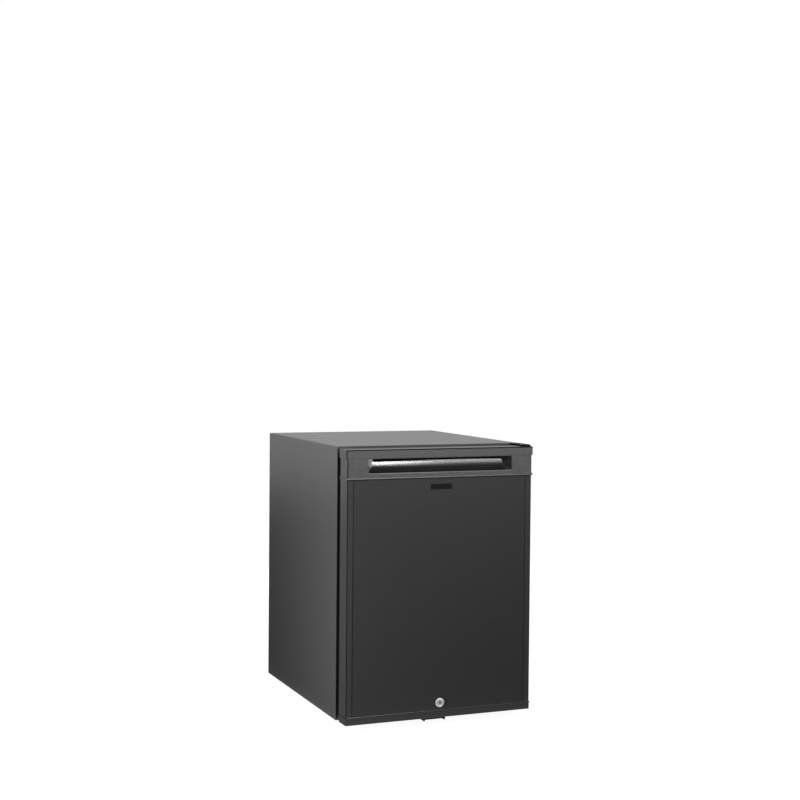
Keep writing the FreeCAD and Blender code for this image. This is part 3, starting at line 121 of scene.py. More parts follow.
class Mat:
    """One procedural material and short calls for its nodes."""

    def __init__(self, name, rough=0.5, metal=0.0, spec=0.5):
        self.mat = bpy.data.materials.new(name)
        self.mat.use_nodes = True
        self.tree = self.mat.node_tree
        self.bsdf = self.tree.nodes["Principled BSDF"]
        self.set("Roughness", rough)
        self.set("Metallic", metal)
        self.set("Specular IOR Level", spec)
        self.coord = self.add("ShaderNodeTexCoord").outputs["Object"]
        self.normal = None

    def set(self, socket, value):
        self.bsdf.inputs[socket].default_value = value

    def add(self, kind, sockets=None, **values):
        node = self.tree.nodes.new(kind)
        for key, value in values.items():
            setattr(node, key, value)
        for key, value in (sockets or {}).items():
            node.inputs[key].default_value = value
        return node

    def link(self, a, b):
        self.tree.links.new(a, b)

    def stretched(self, scale):
        node = self.add("ShaderNodeMapping", {"Scale": scale})
        self.link(self.coord, node.inputs["Vector"])
        return node.outputs["Vector"]

    def noise(self, scale, detail=3.0, rough=0.5, stretch=None):
        node = self.add("ShaderNodeTexNoise", {"Scale": scale, "Detail": detail, "Roughness": rough})
        self.link(self.stretched(stretch) if stretch else self.coord, node.inputs["Vector"])
        return node.outputs["Fac"]

    def cells(self, scale, output):
        node = self.add("ShaderNodeTexVoronoi", {"Scale": scale})
        self.link(self.coord, node.inputs["Vector"])
        return node.outputs[output]

    def colour(self, source, low, high, start=0.3, end=0.7):
        """The colour goes from low to high as the pattern goes from start to end."""
        node = self.add("ShaderNodeValToRGB")
        for element, at, colour in zip(node.color_ramp.elements, (start, end), (low, high)):
            element.position = at
            element.color = colour
        self.link(source, node.inputs["Fac"])
        self.link(node.outputs["Color"], self.bsdf.inputs["Base Color"])

    def roughness(self, source, low, high, start=0.3, end=0.7):
        """The roughness goes from low to high as the pattern goes from start to end."""
        node = self.add("ShaderNodeMapRange",
                        {"From Min": start, "From Max": end, "To Min": low, "To Max": high})
        self.link(source, node.inputs["Value"])
        self.link(node.outputs["Result"], self.bsdf.inputs["Roughness"])

    def bump(self, source, depth, strength=0.5):
        node = self.add("ShaderNodeBump", {"Strength": strength, "Distance": depth})
        self.link(source, node.inputs["Height"])
        if self.normal:
            self.link(self.normal, node.inputs["Normal"])
        self.normal = node.outputs["Normal"]
        self.link(self.normal, self.bsdf.inputs["Normal"])

    def soft_edges(self, radius):
        node = self.add("ShaderNodeBevel", {"Radius": radius}, samples=6)
        self.normal = node.outputs["Normal"]
        self.link(self.normal, self.bsdf.inputs["Normal"])


def grained(name, low, high, rough, spec, grain=2200.0, edge=0.0006, fleck=420.0, band=0.15):
    """Moulded plastic or powder coat: fine grain over faint flecks of two tones."""
    m = Mat(name, rough=rough, spec=spec)
    m.soft_edges(edge)
    flecks = m.noise(fleck, detail=5.0, rough=0.7)
    m.colour(flecks, srgb(low), srgb(high), 0.5 - band, 0.5 + band)
    m.roughness(m.noise(300.0, detail=4.0), rough - 0.04, rough + 0.04)
    m.bump(m.noise(grain, detail=2.0), 0.00006)
    return m.mat


def brushed(name, low, high, rough, metal, stretch, depth=0.00002):
    """Metal or sheet with fine lines along one axis."""
    m = Mat(name, rough=rough, metal=metal)
    m.soft_edges(0.0004)
    lines = m.noise(1.0, detail=4.0, rough=0.65, stretch=stretch)
    m.colour(lines, srgb(low), srgb(high), 0.25, 0.75)
    m.roughness(m.noise(18.0), rough - 0.05, rough + 0.06)
    m.bump(lines, depth, 0.35)
    return m.mat


def plain_gloss(name, low, high, rough, tint=(1.0, 1.0, 1.0), spec=0.5, coat=0.0, ior=1.5):
    """Smooth moulded sheet: faint orange peel and a slow drift of tone."""
    m = Mat(name, rough=rough, spec=spec)
    m.set("IOR", ior)
    m.set("Coat Weight", coat)
    m.set("Coat Roughness", 0.08)
    m.colour(m.noise(6.0), srgb(low, tint), srgb(high, tint))
    m.roughness(m.noise(5.0, detail=0.0), rough - 0.02, rough + 0.03, 0.0, 1.0)
    m.bump(m.noise(120.0, detail=1.0), 0.00001, 0.2)
    return m.mat


def foamed(name, low, high):
    """Cut polyurethane foam with its open cells."""
    m = Mat(name, rough=0.9, spec=0.2)
    cells = m.cells(420.0, "Distance")
    m.colour(cells, low, high, 0.1, 0.7)
    m.roughness(m.noise(50.0), 0.8, 0.95)
    m.bump(cells, 0.0006, 0.6)
    return m.mat


def rubbery(name, level, rough=0.75):
    """Dull rubber or sintered stock, a little cloudy."""
    m = Mat(name, rough=rough, spec=0.08)
    m.soft_edges(0.0008)
    m.colour(m.noise(60.0, detail=6.0, rough=0.7), srgb(level - 5), srgb(level + 6))
    m.roughness(m.noise(30.0), rough - 0.08, rough + 0.1)
    m.bump(m.noise(1500.0, detail=2.0), 0.00008)
    return m.mat


def spangled(name, low, high, rough):
    """Galvanised sheet with its faint crystals."""
    m = Mat(name, rough=rough, metal=0.55)
    grey = m.add("ShaderNodeRGBToBW")
    m.link(m.cells(210.0, "Color"), grey.inputs["Color"])
    crystals = grey.outputs["Val"]
    m.colour(crystals, srgb(low), srgb(high), 0.1, 0.9)
    m.roughness(crystals, rough - 0.08, rough + 0.08, 0.1, 0.9)
    m.bump(m.noise(300.0), 0.00003)
    return m.mat


def ribbed_lens(name, low, high):
    """Clear moulding with fine upright ribs."""
    m = Mat(name, rough=0.25)
    m.set("Transmission Weight", 0.6)
    m.set("IOR", 1.49)
    m.colour(m.noise(30.0), srgb(low), srgb(high))
    m.bump(m.noise(1.0, detail=0.0, stretch=(900.0, 1.0, 1.0)), 0.0002, 0.5)
    m.roughness(m.noise(60.0), 0.2, 0.32)
    return m.mat


COOL_WHITE = (0.98, 1, 1)
COLD_WHITE = (0.97, 0.99, 1)
FOAM_SHADE = (0.52, 0.42, 0.22, 1)
FOAM_LIGHT = (0.74, 0.64, 0.40, 1)
SHARP_EDGE = 0.0003

LOOKS = {
    "cabinet_paint": (grained, dict(low=60, high=66, rough=0.4, spec=0.45, grain=1700.0)),
    "base_steel": (grained, dict(low=40, high=46, rough=0.55, spec=0.3)),
    "zinc_sheet": (spangled, dict(low=164, high=186, rough=0.45)),
    "foam": (foamed, dict(low=FOAM_SHADE, high=FOAM_LIGHT)),
    "liner_white": (plain_gloss, dict(low=226, high=233, rough=0.3, tint=COOL_WHITE)),
    "frame_grey": (grained, dict(low=14, high=17, rough=0.55, spec=0.2)),
    "foot_rubber": (rubbery, dict(level=32)),
    "bare_aluminium": (brushed, dict(low=188, high=216, rough=0.35, metal=0.9,
                                     stretch=(40.0, 40.0, 1400.0))),
    "wire_coat": (plain_gloss, dict(low=226, high=236, rough=0.25)),
    "white_moulding": (grained, dict(low=220, high=228, rough=0.42, spec=0.45)),
    "clear_lens": (ribbed_lens, dict(low=232, high=244)),
    "knob_grey": (grained, dict(low=128, high=140, rough=0.45, spec=0.4)),
    "rail_paint": (grained, dict(low=47, high=53, rough=0.38, spec=0.5, grain=1500.0, edge=SHARP_EDGE)),
    "panel_paint": (grained, dict(low=39, high=52, rough=0.48, spec=0.3, grain=1300.0, edge=SHARP_EDGE,
                                  fleck=600.0, band=0.11)),
    "door_moulding": (grained, dict(low=34, high=74, rough=0.55, spec=0.9, grain=1200.0, edge=SHARP_EDGE,
                                    fleck=600.0, band=0.1)),
    "trim_dark": (grained, dict(low=42, high=47, rough=0.48, spec=0.4, grain=1300.0, edge=SHARP_EDGE)),
    "scoop_black": (plain_gloss, dict(low=24, high=28, rough=0.2, spec=1.0, coat=1.0, ior=1.9)),
    "lock_chrome": (brushed, dict(low=226, high=238, rough=0.34, metal=0.6, stretch=(300.0, 300.0, 300.0))),
    "bare_steel": (brushed, dict(low=170, high=200, rough=0.32, metal=1.0, stretch=(400.0, 400.0, 90.0))),
    "bracket_black": (grained, dict(low=13, high=17, rough=0.7, spec=0.15)),
    "bush_nylon": (plain_gloss, dict(low=205, high=214, rough=0.4)),
    "seal_rubber": (rubbery, dict(level=12, rough=0.6)),
    "ferrite": (rubbery, dict(level=60, rough=0.5)),
    "rack_plastic": (plain_gloss, dict(low=222, high=230, rough=0.22, tint=COLD_WHITE)),
    "unit_black": (grained, dict(low=30, high=38, rough=0.45, spec=0.4, grain=900.0)),
    "can_sheet": (spangled, dict(low=156, high=178, rough=0.4)),
    "box_black": (grained, dict(low=34, high=40, rough=0.5, spec=0.35)),
}
looks = {name: make(name, **values) for name, (make, values) in LOOKS.items()}

for subpart in frame["record"]["subparts"]:
    for material_slot in nodes[subpart["node"]].material_slots:
        material_slot.material = looks[subpart["material_slot"]]


# Mesh helpers

BOX_QUADS = ((0, 1, 3, 2), (4, 5, 7, 6), (0, 1, 5, 4), (2, 3, 7, 6), (0, 2, 6, 4), (1, 3, 7, 5))
BEND_STEPS = 10
BEVEL_ANGLE = 30
NEARLY_ZERO = 1e-3


def finish_piece(name, bm, look, body, replaced=(), smooth=True, bevel=0.0):
    """Turns a bmesh into a piece that rides on a body and carries one material."""
    bmesh.ops.recalc_face_normals(bm, faces=bm.faces)
    mesh = bpy.data.meshes.new(name)
    bm.to_mesh(mesh)
    bm.free()
    for face in mesh.polygons:
        face.use_smooth = smooth
    mesh.materials.append(looks[look])
    piece = bpy.data.objects.new(name, mesh)
    scene.collection.objects.link(piece)
    if bevel:
        soft = piece.modifiers.new("edge", "BEVEL")
        soft.width = bevel / MM_PER_METRE
        soft.segments = 2
        soft.limit_method = "ANGLE"
        soft.angle_limit = math.radians(BEVEL_ANGLE)
        soft.harden_normals = True
    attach(piece, body)
    if replaced:
        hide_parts(*replaced)


def square_to(axis):
    """A direction square to an axis."""
    side = axis.cross(UP)
    if side.length < NEARLY_ZERO:
        side = axis.cross(BACKWARD)
    return side.normalized()


def add_ring(bm, centre, side, up, radius, sides):
    """A circle of points round a centre; the radius is in millimetres."""
    made = []
    for k in range(sides):
        turn = 2 * math.pi * k / sides
        arm = math.cos(turn) * side + math.sin(turn) * up
        made.append(bm.verts.new(centre + radius / MM_PER_METRE * arm))
    return made


def join_rings(bm, a, b):
    """The faces between two rings; one of them may be a single point."""
    count = max(len(a), len(b))
    for k in range(count):
        j = (k + 1) % count
        if len(a) == 1:
            bm.faces.new((a[0], b[k], b[j]))
        elif len(b) == 1:
            bm.faces.new((a[k], a[j], b[0]))
        else:
            bm.faces.new((a[k], a[j], b[j], b[k]))


def box_faces(bm, corners):
    """Six faces on eight corners, of which the last axis changes first."""
    made = [bm.verts.new(corner) for corner in corners]
    for quad in BOX_QUADS:
        bm.faces.new([made[q] for q in quad])


def bar(bm, x, y, z):
    """A thin rectangular bar, from its two places on each axis."""
    box_faces(bm, [mm(a, b, c) for a in x for b in y for c in z])


def bent_path(places, bend):
    """Straight runs joined by tangent arcs, as a list of points in metres."""
    points = [mm(*place) for place in places]
    radius = bend / MM_PER_METRE
    path = [points[0]]
    for before, corner, after in zip(points, points[1:], points[2:]):
        back = (before - corner).normalized()
        ahead = (after - corner).normalized()
        half = back.angle(ahead) / 2
        centre = corner + (back + ahead).normalized() * (radius / math.sin(half))
        first = corner + back * (radius / math.tan(half)) - centre
        last = corner + ahead * (radius / math.tan(half)) - centre
        turn = first.angle(last)
        for i in range(BEND_STEPS + 1):
            t = i / BEND_STEPS
            arm = (math.sin((1 - t) * turn) * first + math.sin(t * turn) * last) / math.sin(turn)
            path.append(centre + arm)
    path.append(points[-1])
    return path


def sweep_ring(bm, path, radius, sides, closed=False):
    """A round tube along a path, with the frame carried along it and open ends capped."""
    count = len(path)
    side = None
    rings = []
    for i, point in enumerate(path):
        if closed:
            along = (path[(i + 1) % count] - path[i - 1]).normalized()
        else:
            along = (path[min(i + 1, count - 1)] - path[max(i - 1, 0)]).normalized()
        side = square_to(along) if side is None else (side - along * side.dot(along)).normalized()
        rings.append(add_ring(bm, point, side, along.cross(side), radius, sides))
    for a, b in zip(rings, rings[1:]):
        join_rings(bm, a, b)
    if closed:
        join_rings(bm, rings[-1], rings[0])
    else:
        bm.faces.new(rings[0])
        bm.faces.new(rings[-1])


def turned(bm, axis, origin, profile, sides):
    """A solid of revolution from (reach along the axis, radius) pairs; radius 0 closes an end."""
    side = square_to(axis)
    rings = []
    for reach, radius in profile:
        centre = origin + axis * reach / MM_PER_METRE
        if radius == 0:
            rings.append([bm.verts.new(centre)])
        else:
            rings.append(add_ring(bm, centre, side, axis.cross(side), radius, sides))
    for a, b in zip(rings, rings[1:]):
        join_rings(bm, a, b)


# Cooling unit: smooth tubes along the centre lines of the solids, whose tubes have flat sides

TUBE_RADIUS = 8
THIN_RADIUS = 5
GAS_RADIUS = 8.5
VENT_RADIUS = 4
CAN_RADIUS = 36
VESSEL_RADIUS = 30
TUBE_SIDES = 24
THIN_SIDES = 20
SOLID_SIDES = 8
CONDENSER_BEND = 24
CONDENSER_CORNER_Z = 490
CONDENSER_END_X = -132
FEED_START_X = -126
THIN_BEND = 16
COIL_BEND = 33
COIL_PASSES = 3
COIL_LEAD = 40
COIL_END_Z = 60
STRAIGHT = 0
VENT_SUNK = 2
VENT_UNDER_FEED = 3
GAS_BEND = 19
GAS_BEHIND_PANEL = 20
GAS_SUNK = 11.25
DRAIN_BEND = 9
CAN_SUNK = 1


def flat_reach(radius, sides=SOLID_SIDES):
    """How far a faceted round solid's flat sides lie from its centre line."""
    return radius * math.cos(math.pi / sides)


vessel = Span("absorber_vessel")
can = Span("boiler_can")
coil = Span("absorber_coil")
feed = Span("feed_tube")
gas = Span("gas_exchanger")
liquid = Span("liquid_exchanger")
drain = Span("drain_tube")
unit_y = vessel.middle_y
can_x = can.right - CAN_RADIUS
coil_left = coil.left + flat_reach(TUBE_RADIUS)
coil_right = coil.right - flat_reach(TUBE_RADIUS)
feed_z = feed.middle_z
liquid_z = liquid.low + flat_reach(THIN_RADIUS)
behind_panel_y = drain.back - flat_reach(THIN_RADIUS)


def unit_tube(name, points, radius, bend, replaced, sides=THIN_SIDES, look="unit_black"):
    bm = bmesh.new()
    sweep_ring(bm, bent_path(points, bend), radius, sides)
    finish_piece(name, bm, look, "cabinet", replaced)


def condenser_run():
    """Up from the can, round the top corner and down the slope to the evaporator's feed."""
    points = [(can_x, unit_y, can.high - CAN_SUNK), (can_x, unit_y, CONDENSER_CORNER_Z),
              (CONDENSER_END_X, unit_y, feed_z)]
    unit_tube("condenser_run", points, TUBE_RADIUS, CONDENSER_BEND, ("rectifier_tube", "condenser_tube"),
              TUBE_SIDES)


def feed_run():
    """From the condenser's end round the left side and forward through the wall."""
    left = feed.left + flat_reach(THIN_RADIUS)
    entry = feed.right - flat_reach(THIN_RADIUS)
    points = [(FEED_START_X, unit_y, feed_z), (left, unit_y, feed_z), (left, behind_panel_y, feed_z),
              (entry, behind_panel_y, feed_z), (entry, feed.front, feed_z)]
    unit_tube("feed_run", points, THIN_RADIUS, THIN_BEND, ("feed_tube",))


def coil_run():
    """The absorber's passes, to the right and back, and down into the vessel."""
    points = [(coil_left, unit_y, coil.high)]
    for i in range(COIL_PASSES):
        z = coil.high - COIL_LEAD - i * 2 * COIL_BEND
        near, far = (coil_right, coil_left) if i % 2 else (coil_left, coil_right)
        points += [(near, unit_y, z), (far, unit_y, z)]
    points.append((coil_right, unit_y, COIL_END_Z))
    unit_tube("coil_run", points, TUBE_RADIUS, COIL_BEND, ("absorber_coil",), TUBE_SIDES)


def vent_run():
    """The thin tube that leads gas back from the coil's head to the feed."""
    points = [(coil_left, unit_y, coil.high - VENT_SUNK), (coil_left, unit_y, feed_z - VENT_UNDER_FEED)]
    unit_tube("vent_run", points, VENT_RADIUS, STRAIGHT, ("vent_tube",))


def gas_run():
    """The gas exchanger: out of the wall, down behind the panel and into the vessel."""
    high = gas.high - flat_reach(GAS_RADIUS)
    behind_panel = Span("rear_panel").back + GAS_BEHIND_PANEL
    points = [(gas.middle_x, gas.front, high), (gas.middle_x, behind_panel, high),
              (gas.middle_x, behind_panel, vessel.middle_z),
              (gas.middle_x, vessel.front + GAS_SUNK, vessel.middle_z)]
    unit_tube("gas_run", points, GAS_RADIUS, GAS_BEND, ("gas_exchanger",), TUBE_SIDES)


def liquid_run():
    """The liquid exchanger, from the vessel's end up into the can."""
    points = [(vessel.right, unit_y, liquid_z), (can_x, unit_y, liquid_z),
              (can_x, unit_y, can.low + CAN_SUNK)]
    unit_tube("liquid_run", points, THIN_RADIUS, THIN_BEND, ("liquid_exchanger",))


def drain_run():
    """The drain, from the gutter through the wall and down into the cup."""
    high = drain.high - flat_reach(THIN_RADIUS)
    points = [(drain.middle_x, drain.front, high), (drain.middle_x, behind_panel_y, high),
              (drain.middle_x, behind_panel_y, drain.low)]
    unit_tube("drain_run", points, THIN_RADIUS, DRAIN_BEND, ("drain_tube",), look="white_moulding")


condenser_run()
feed_run()
coil_run()
vent_run()
gas_run()
liquid_run()
drain_run()


# Each bead as its reach along the tube and its height over the tube's wall
WELD_BEAD = ((-1.6, -0.4), (-1.2, 0.6), (0, 1.1), (1.2, 0.6), (1.6, -0.4))
WELD_SIDES = 32
WELD_OVER_THIN = 0.6
CAN_WELD_DROP = 0.5
FEED_WELD_X = -131
VENT_WELD_DROP = 5


def welds():
    """Weld beads where tubes meet the vessel, the can and each other."""
    wide = THIN_RADIUS + WELD_OVER_THIN
    spots = (
        ((coil_right, unit_y, vessel.middle_z + VESSEL_RADIUS), UP, TUBE_RADIUS),
        ((can_x, unit_y, can.high), UP, TUBE_RADIUS),
        ((vessel.right, unit_y, liquid_z), TO_RIGHT, THIN_RADIUS),
        ((can_x, unit_y, can.low - CAN_WELD_DROP), UP, THIN_RADIUS),
        ((FEED_WELD_X, unit_y, feed_z), TO_RIGHT, wide),
        ((coil_left, unit_y, coil.high), UP, wide),
        ((coil_left, unit_y, feed_z - VENT_WELD_DROP), UP, VENT_RADIUS),
    )
    bm = bmesh.new()
    for place, axis, radius in spots:
        turned(bm, axis, mm(*place), [(reach, radius + over) for reach, over in WELD_BEAD], WELD_SIDES)
    finish_piece("weld_beads", bm, "unit_black", "cabinet")


welds()


# Shelves, whose solids have six-sided rims

RIM_RADIUS = 2.5
RIM_BEND = 10
RIM_SIDES = 16
SOLID_RIM_SIDES = 6
WIRE_RADIUS = 1.5
WIRE_SIDES = 12
WIRE_COUNT = 11
WIRE_PITCH = 29.5
WIRE_INSET = 0.25


def shelf_piece(node):
    """A closed bent rim with straight cross wires, all round."""
    shelf = Span(node)
    flat = flat_reach(RIM_RADIUS, SOLID_RIM_SIDES)
    left, right, front, back = shelf.left + flat, shelf.right - flat, shelf.front + flat, shelf.back - flat
    z = shelf.middle_z
    corners = [(0, front, z), (right, front, z), (right, back, z), (left, back, z), (left, front, z),
               (0, front, z)]
    bm = bmesh.new()
    sweep_ring(bm, bent_path(corners, RIM_BEND)[:-1], RIM_RADIUS, RIM_SIDES, closed=True)
    for i in range(WIRE_COUNT):
        x = (i - (WIRE_COUNT - 1) / 2) * WIRE_PITCH
        run = [mm(x, y, z) for y in (front + WIRE_INSET, 0, back - WIRE_INSET)]
        sweep_ring(bm, run, WIRE_RADIUS, WIRE_SIDES)
    finish_piece(node + "_wire", bm, "wire_coat", "cabinet", (node,))


shelf_piece("shelf_lower")
shelf_piece("shelf_upper")


# Feet and screw heads

FOOT_RADIUS = 15
FOOT_SIDES = 40
# Height over the floor and radius, up to the base pan
FOOT_PROFILE = ((0, 0), (0, 12.0), (0.4, 13.4), (1.6, 14.4), (3.2, 14.6), (12.6, 12.6), (13.6, 12.4),
                (14, 12.0), (14, 0))


def rubber_feet():
    feet = Span("feet")
    bm = bmesh.new()
    for x in (feet.left + FOOT_RADIUS, feet.right - FOOT_RADIUS):
        for y in (feet.front + FOOT_RADIUS, feet.back - FOOT_RADIUS):
            turned(bm, UP, mm(x, y, 0), FOOT_PROFILE, FOOT_SIDES)
    finish_piece("rubber_feet", bm, "foot_rubber", "cabinet", ("feet",))


rubber_feet()


SOLID_HEAD_RADIUS = 3.6
SOLID_HEAD_TALL = 2
SCREW_PITCH = 24
TOP_SCREW_Z = 551.5
BOTTOM_SCREW_Z = 22.5
KEEPER_FOOT_LONG = 26
# Height over the plate and radius, ending in the recess
HEAD_PROFILE = ((0, 0), (0, 3.5), (0.9, 3.4), (1.5, 2.9), (1.85, 2.1), (1.95, 1.5), (1.2, 1.2), (1.2, 0))
HEAD_SIDES = 28
CROSS_HEIGHT = 1.6
CROSS_HALF_LONG = 1.3
CROSS_HALF_WIDE = 0.35
CROSS_DEPTHS = (-0.5, 0.1)


def pan_screws():
    """Pan heads with a cross on the hinge brackets and the keeper."""
    heads = Span("bracket_screws")
    face_y = heads.front + SOLID_HEAD_TALL
    outer_x = heads.right - SOLID_HEAD_RADIUS
    keeper_x = -heads.left - SOLID_HEAD_RADIUS
    keeper_y = Span("lock_keeper").back - KEEPER_FOOT_LONG / 2
    keeper_z = heads.low + SOLID_HEAD_TALL
    spots = [((x, face_y, z), FORWARD) for x in (outer_x - SCREW_PITCH, outer_x)
             for z in (TOP_SCREW_Z, BOTTOM_SCREW_Z)]
    spots += [((x, keeper_y, keeper_z), DOWN) for x in (-keeper_x, keeper_x)]
    bm = bmesh.new()
    for place, axis in spots:
        origin = mm(*place)
        turned(bm, axis, origin, HEAD_PROFILE, HEAD_SIDES)
        centre = origin + axis * CROSS_HEIGHT / MM_PER_METRE
        side = axis.cross(TO_RIGHT)
        for along in (axis.cross(side), side):
            across = axis.cross(along)
            box_faces(bm, [centre + (along * a + across * b + axis * c) / MM_PER_METRE
                           for a in (-CROSS_HALF_LONG, CROSS_HALF_LONG)
                           for b in (-CROSS_HALF_WIDE, CROSS_HALF_WIDE) for c in CROSS_DEPTHS])
    finish_piece("pan_screws", bm, "bare_steel", "cabinet", ("bracket_screws",), smooth=False)


pan_screws()


# Door details

moulding = Span("handle_moulding")
panel = Span("decor_panel")
trim = Span("bottom_trim")
left_rail = Span("left_rail")
CAP_TALL = 17.3
BEAD_TALL = 4

BADGE_HALF_WIDE = 23
BADGE_BELOW_MOULDING = 12.5
BADGE_TALL = 10.7
BADGE_THICK = 0.55
BADGE_CORNER = 1.4
BADGE_EDGE = 0.2
CORNER_STEPS = 6


def soft_plate(bm, x, y, z, radius):
    """A flat plate facing the front, with rounded corners; y is its back and its front."""
    left, right, low, high = x[0] + radius, x[1] - radius, z[0] + radius, z[1] - radius
    corners = ((right, high, 0), (left, high, 90), (left, low, 180), (right, low, 270))
    outline = []
    for centre_x, centre_z, start in corners:
        for i in range(CORNER_STEPS + 1):
            turn = math.radians(start + 90 * i / CORNER_STEPS)
            outline.append((centre_x + radius * math.cos(turn), centre_z + radius * math.sin(turn)))
    back, front = ([bm.verts.new(mm(a, depth, b)) for a, b in outline] for depth in y)
    bm.faces.new(back)
    bm.faces.new(front)
    join_rings(bm, back, front)


def badge():
    """The bare plate in the badge's place."""
    high = panel.high - BADGE_BELOW_MOULDING
    bm = bmesh.new()
    soft_plate(bm, (-BADGE_HALF_WIDE, BADGE_HALF_WIDE), (panel.front, panel.front - BADGE_THICK),
               (high - BADGE_TALL, high), BADGE_CORNER)
    finish_piece("badge_plate", bm, "bracket_black", "door", smooth=False, bevel=BADGE_EDGE)


badge()


BORE_RADIUS = 6.15
BARREL_BODY_RADIUS = 7.95
# Depth behind the lock's face and radius, over the domed rim and back into the bore
BEZEL_RIM = ((3.55, BARREL_BODY_RADIUS), (3.55, 9.1), (1.75, 9.2), (1.05, 9.0), (0.55, 8.6), (0.2, 8.0),
             (0.03, 7.3), (0.15, 6.6), (0.55, BORE_RADIUS))
BEZEL_END = 32.45
BEZEL_SIDES = 56
SAME_POINT = 1e-6
lock = Span("lock_barrel")


def lock_bezel():
    """The lock's housing with its domed, polished rim."""
    face = -lock.front
    end = face - BEZEL_END
    profile = [(end, BORE_RADIUS), (end, BARREL_BODY_RADIUS)]
    profile += [(face - depth, radius) for depth, radius in BEZEL_RIM]
    profile.append((end, BORE_RADIUS))
    bm = bmesh.new()
    turned(bm, FORWARD, mm(0, 0, lock.middle_z), profile, BEZEL_SIDES)
    bmesh.ops.remove_doubles(bm, verts=bm.verts, dist=SAME_POINT)
    finish_piece("lock_bezel", bm, "lock_chrome", "door", ("lock_barrel",))


lock_bezel()


SLOT_HALF_LONG = 3.15
SLOT_HALF_WIDE = 0.75
SLOT_SHADE_THICK = 0.5
SLOT_SHADE_DEPTH = 0.05
UPRIGHT_DEPTH = 0.07


def slot_shade_cross():
    """A dark cross just behind the plug's face, which paints the shade inside the cross-shaped key slot."""
    face = Span("lock_plug").front
    bm = bmesh.new()
    for half_x, half_z, depth in ((SLOT_HALF_LONG, SLOT_HALF_WIDE, SLOT_SHADE_DEPTH),
                                  (SLOT_HALF_WIDE, SLOT_HALF_LONG, UPRIGHT_DEPTH)):
        bar(bm, (-half_x, half_x), (face + depth, face + depth + SLOT_SHADE_THICK),
            (lock.middle_z - half_z, lock.middle_z + half_z))
    finish_piece("slot_shade_cross", bm, "seal_rubber", "lock", smooth=False)


slot_shade_cross()


# How far the dark lines stand proud of the faces and reach in behind them
LINE_PROUD = 0.25
LINE_DEEP = 0.35
CAP_LINE_PROUD = 0.45
CAP_LINE_TALL = 1.7
CAP_END_INSET = 0.05
CAP_INSET = 0.1
BEAD_LINE_TALL = 1.2
BEAD_LINE_PROUD = 0.2
BEAD_LINE_DEEP = 0.75
MOULDING_LINE_WIDE = 1.85
RAIL_LINE_WIDE = 1.35
PANEL_GROOVE = 0.8
FOOT_LINE_TALL = 0.9
CORNER_LINE = 0.2
FOOT_LINE_FRONT = 0.15


def joint_and_shade_lines():
    """Dark lines on the door: the joints between its parts, painted shade along the cap's top edge and
    under the bead, and a painted dark reflection down the front-left corner.
    """
    cap_half = moulding.right
    cap_low = moulding.high - CAP_TALL
    cap_line_low = moulding.high - CAP_LINE_TALL
    bead_line_low = moulding.low - BEAD_LINE_TALL
    cap_face = moulding.front
    rail_face = left_rail.front
    rail_side = left_rail.left
    corner = rail_side + CAP_END_INSET
    bm = bmesh.new()
    # Painted shade along the top of the cap's front edge.
    bar(bm, (-cap_half + CAP_INSET, cap_half - CAP_INSET),
        (cap_face - CAP_LINE_PROUD, cap_face + LINE_DEEP), (cap_line_low, moulding.high + CAP_INSET))
    # Painted dark reflection down the front-left corner, through the cap's end, the band and the rail.
    bar(bm, (-cap_half + CAP_END_INSET, rail_side - CORNER_LINE),
        (cap_face - LINE_PROUD, cap_face + LINE_DEEP), (cap_low, cap_line_low))
    bar(bm, (corner, corner + MOULDING_LINE_WIDE), (rail_face - LINE_PROUD, rail_face + LINE_DEEP),
        (moulding.low + BEAD_TALL, cap_low))
    bar(bm, (corner, corner + RAIL_LINE_WIDE), (rail_face - LINE_PROUD, rail_face + LINE_PROUD),
        (trim.high, bead_line_low))
    # The joint under the bead, widened into painted shadow under the bead.
    bar(bm, (rail_side + CORNER_LINE, -rail_side - CORNER_LINE),
        (rail_face - BEAD_LINE_PROUD, rail_face + BEAD_LINE_DEEP), (bead_line_low, moulding.low))
    groove_end = panel.right + PANEL_GROOVE
    for groove in ((-groove_end, panel.left), (panel.right, groove_end)):
        bar(bm, groove, (panel.front - LINE_PROUD, panel.front + LINE_PROUD), (trim.high, bead_line_low))
    bar(bm, (rail_side - CORNER_LINE, rail_side + CORNER_LINE),
        (rail_face + FOOT_LINE_FRONT, left_rail.back - CAP_END_INSET),
        (trim.high, trim.high + FOOT_LINE_TALL))
    finish_piece("joint_and_shade_lines", bm, "seal_rubber", "door", smooth=False)


joint_and_shade_lines()


LIP_THICK = 0.65
LIP_OVER_LINER = 0.4
LIP_OVER_FOAM = 0.6
LIP_SIDE_INSET = 0.3
LIP_RISE = 0.2


def closing_lip():
    """The inner edge of the handle moulding, which closes over the liner's flange."""
    liner = Span("door_liner")
    foam = Span("door_foam")
    inner_x = liner.right - LIP_OVER_LINER
    outer_x = foam.right - LIP_SIDE_INSET
    inner_z = liner.high - LIP_OVER_LINER
    depth = (moulding.back, moulding.back + LIP_THICK)
    bm = bmesh.new()
    bar(bm, (-outer_x, outer_x), depth, (inner_z, foam.high + LIP_OVER_FOAM))
    for side in ((-outer_x, -inner_x), (inner_x, outer_x)):
        bar(bm, side, depth, (moulding.low + LIP_RISE, inner_z))
    finish_piece("closing_lip", bm, "door_moulding", "door", smooth=False)


closing_lip()


EDGING_PROUD = 0.5
EDGING_SUNK = 0.05
EDGING_FROM_FRAME = 0.3
EDGING_INSET = 0.1
EDGING_END_INSET = 4


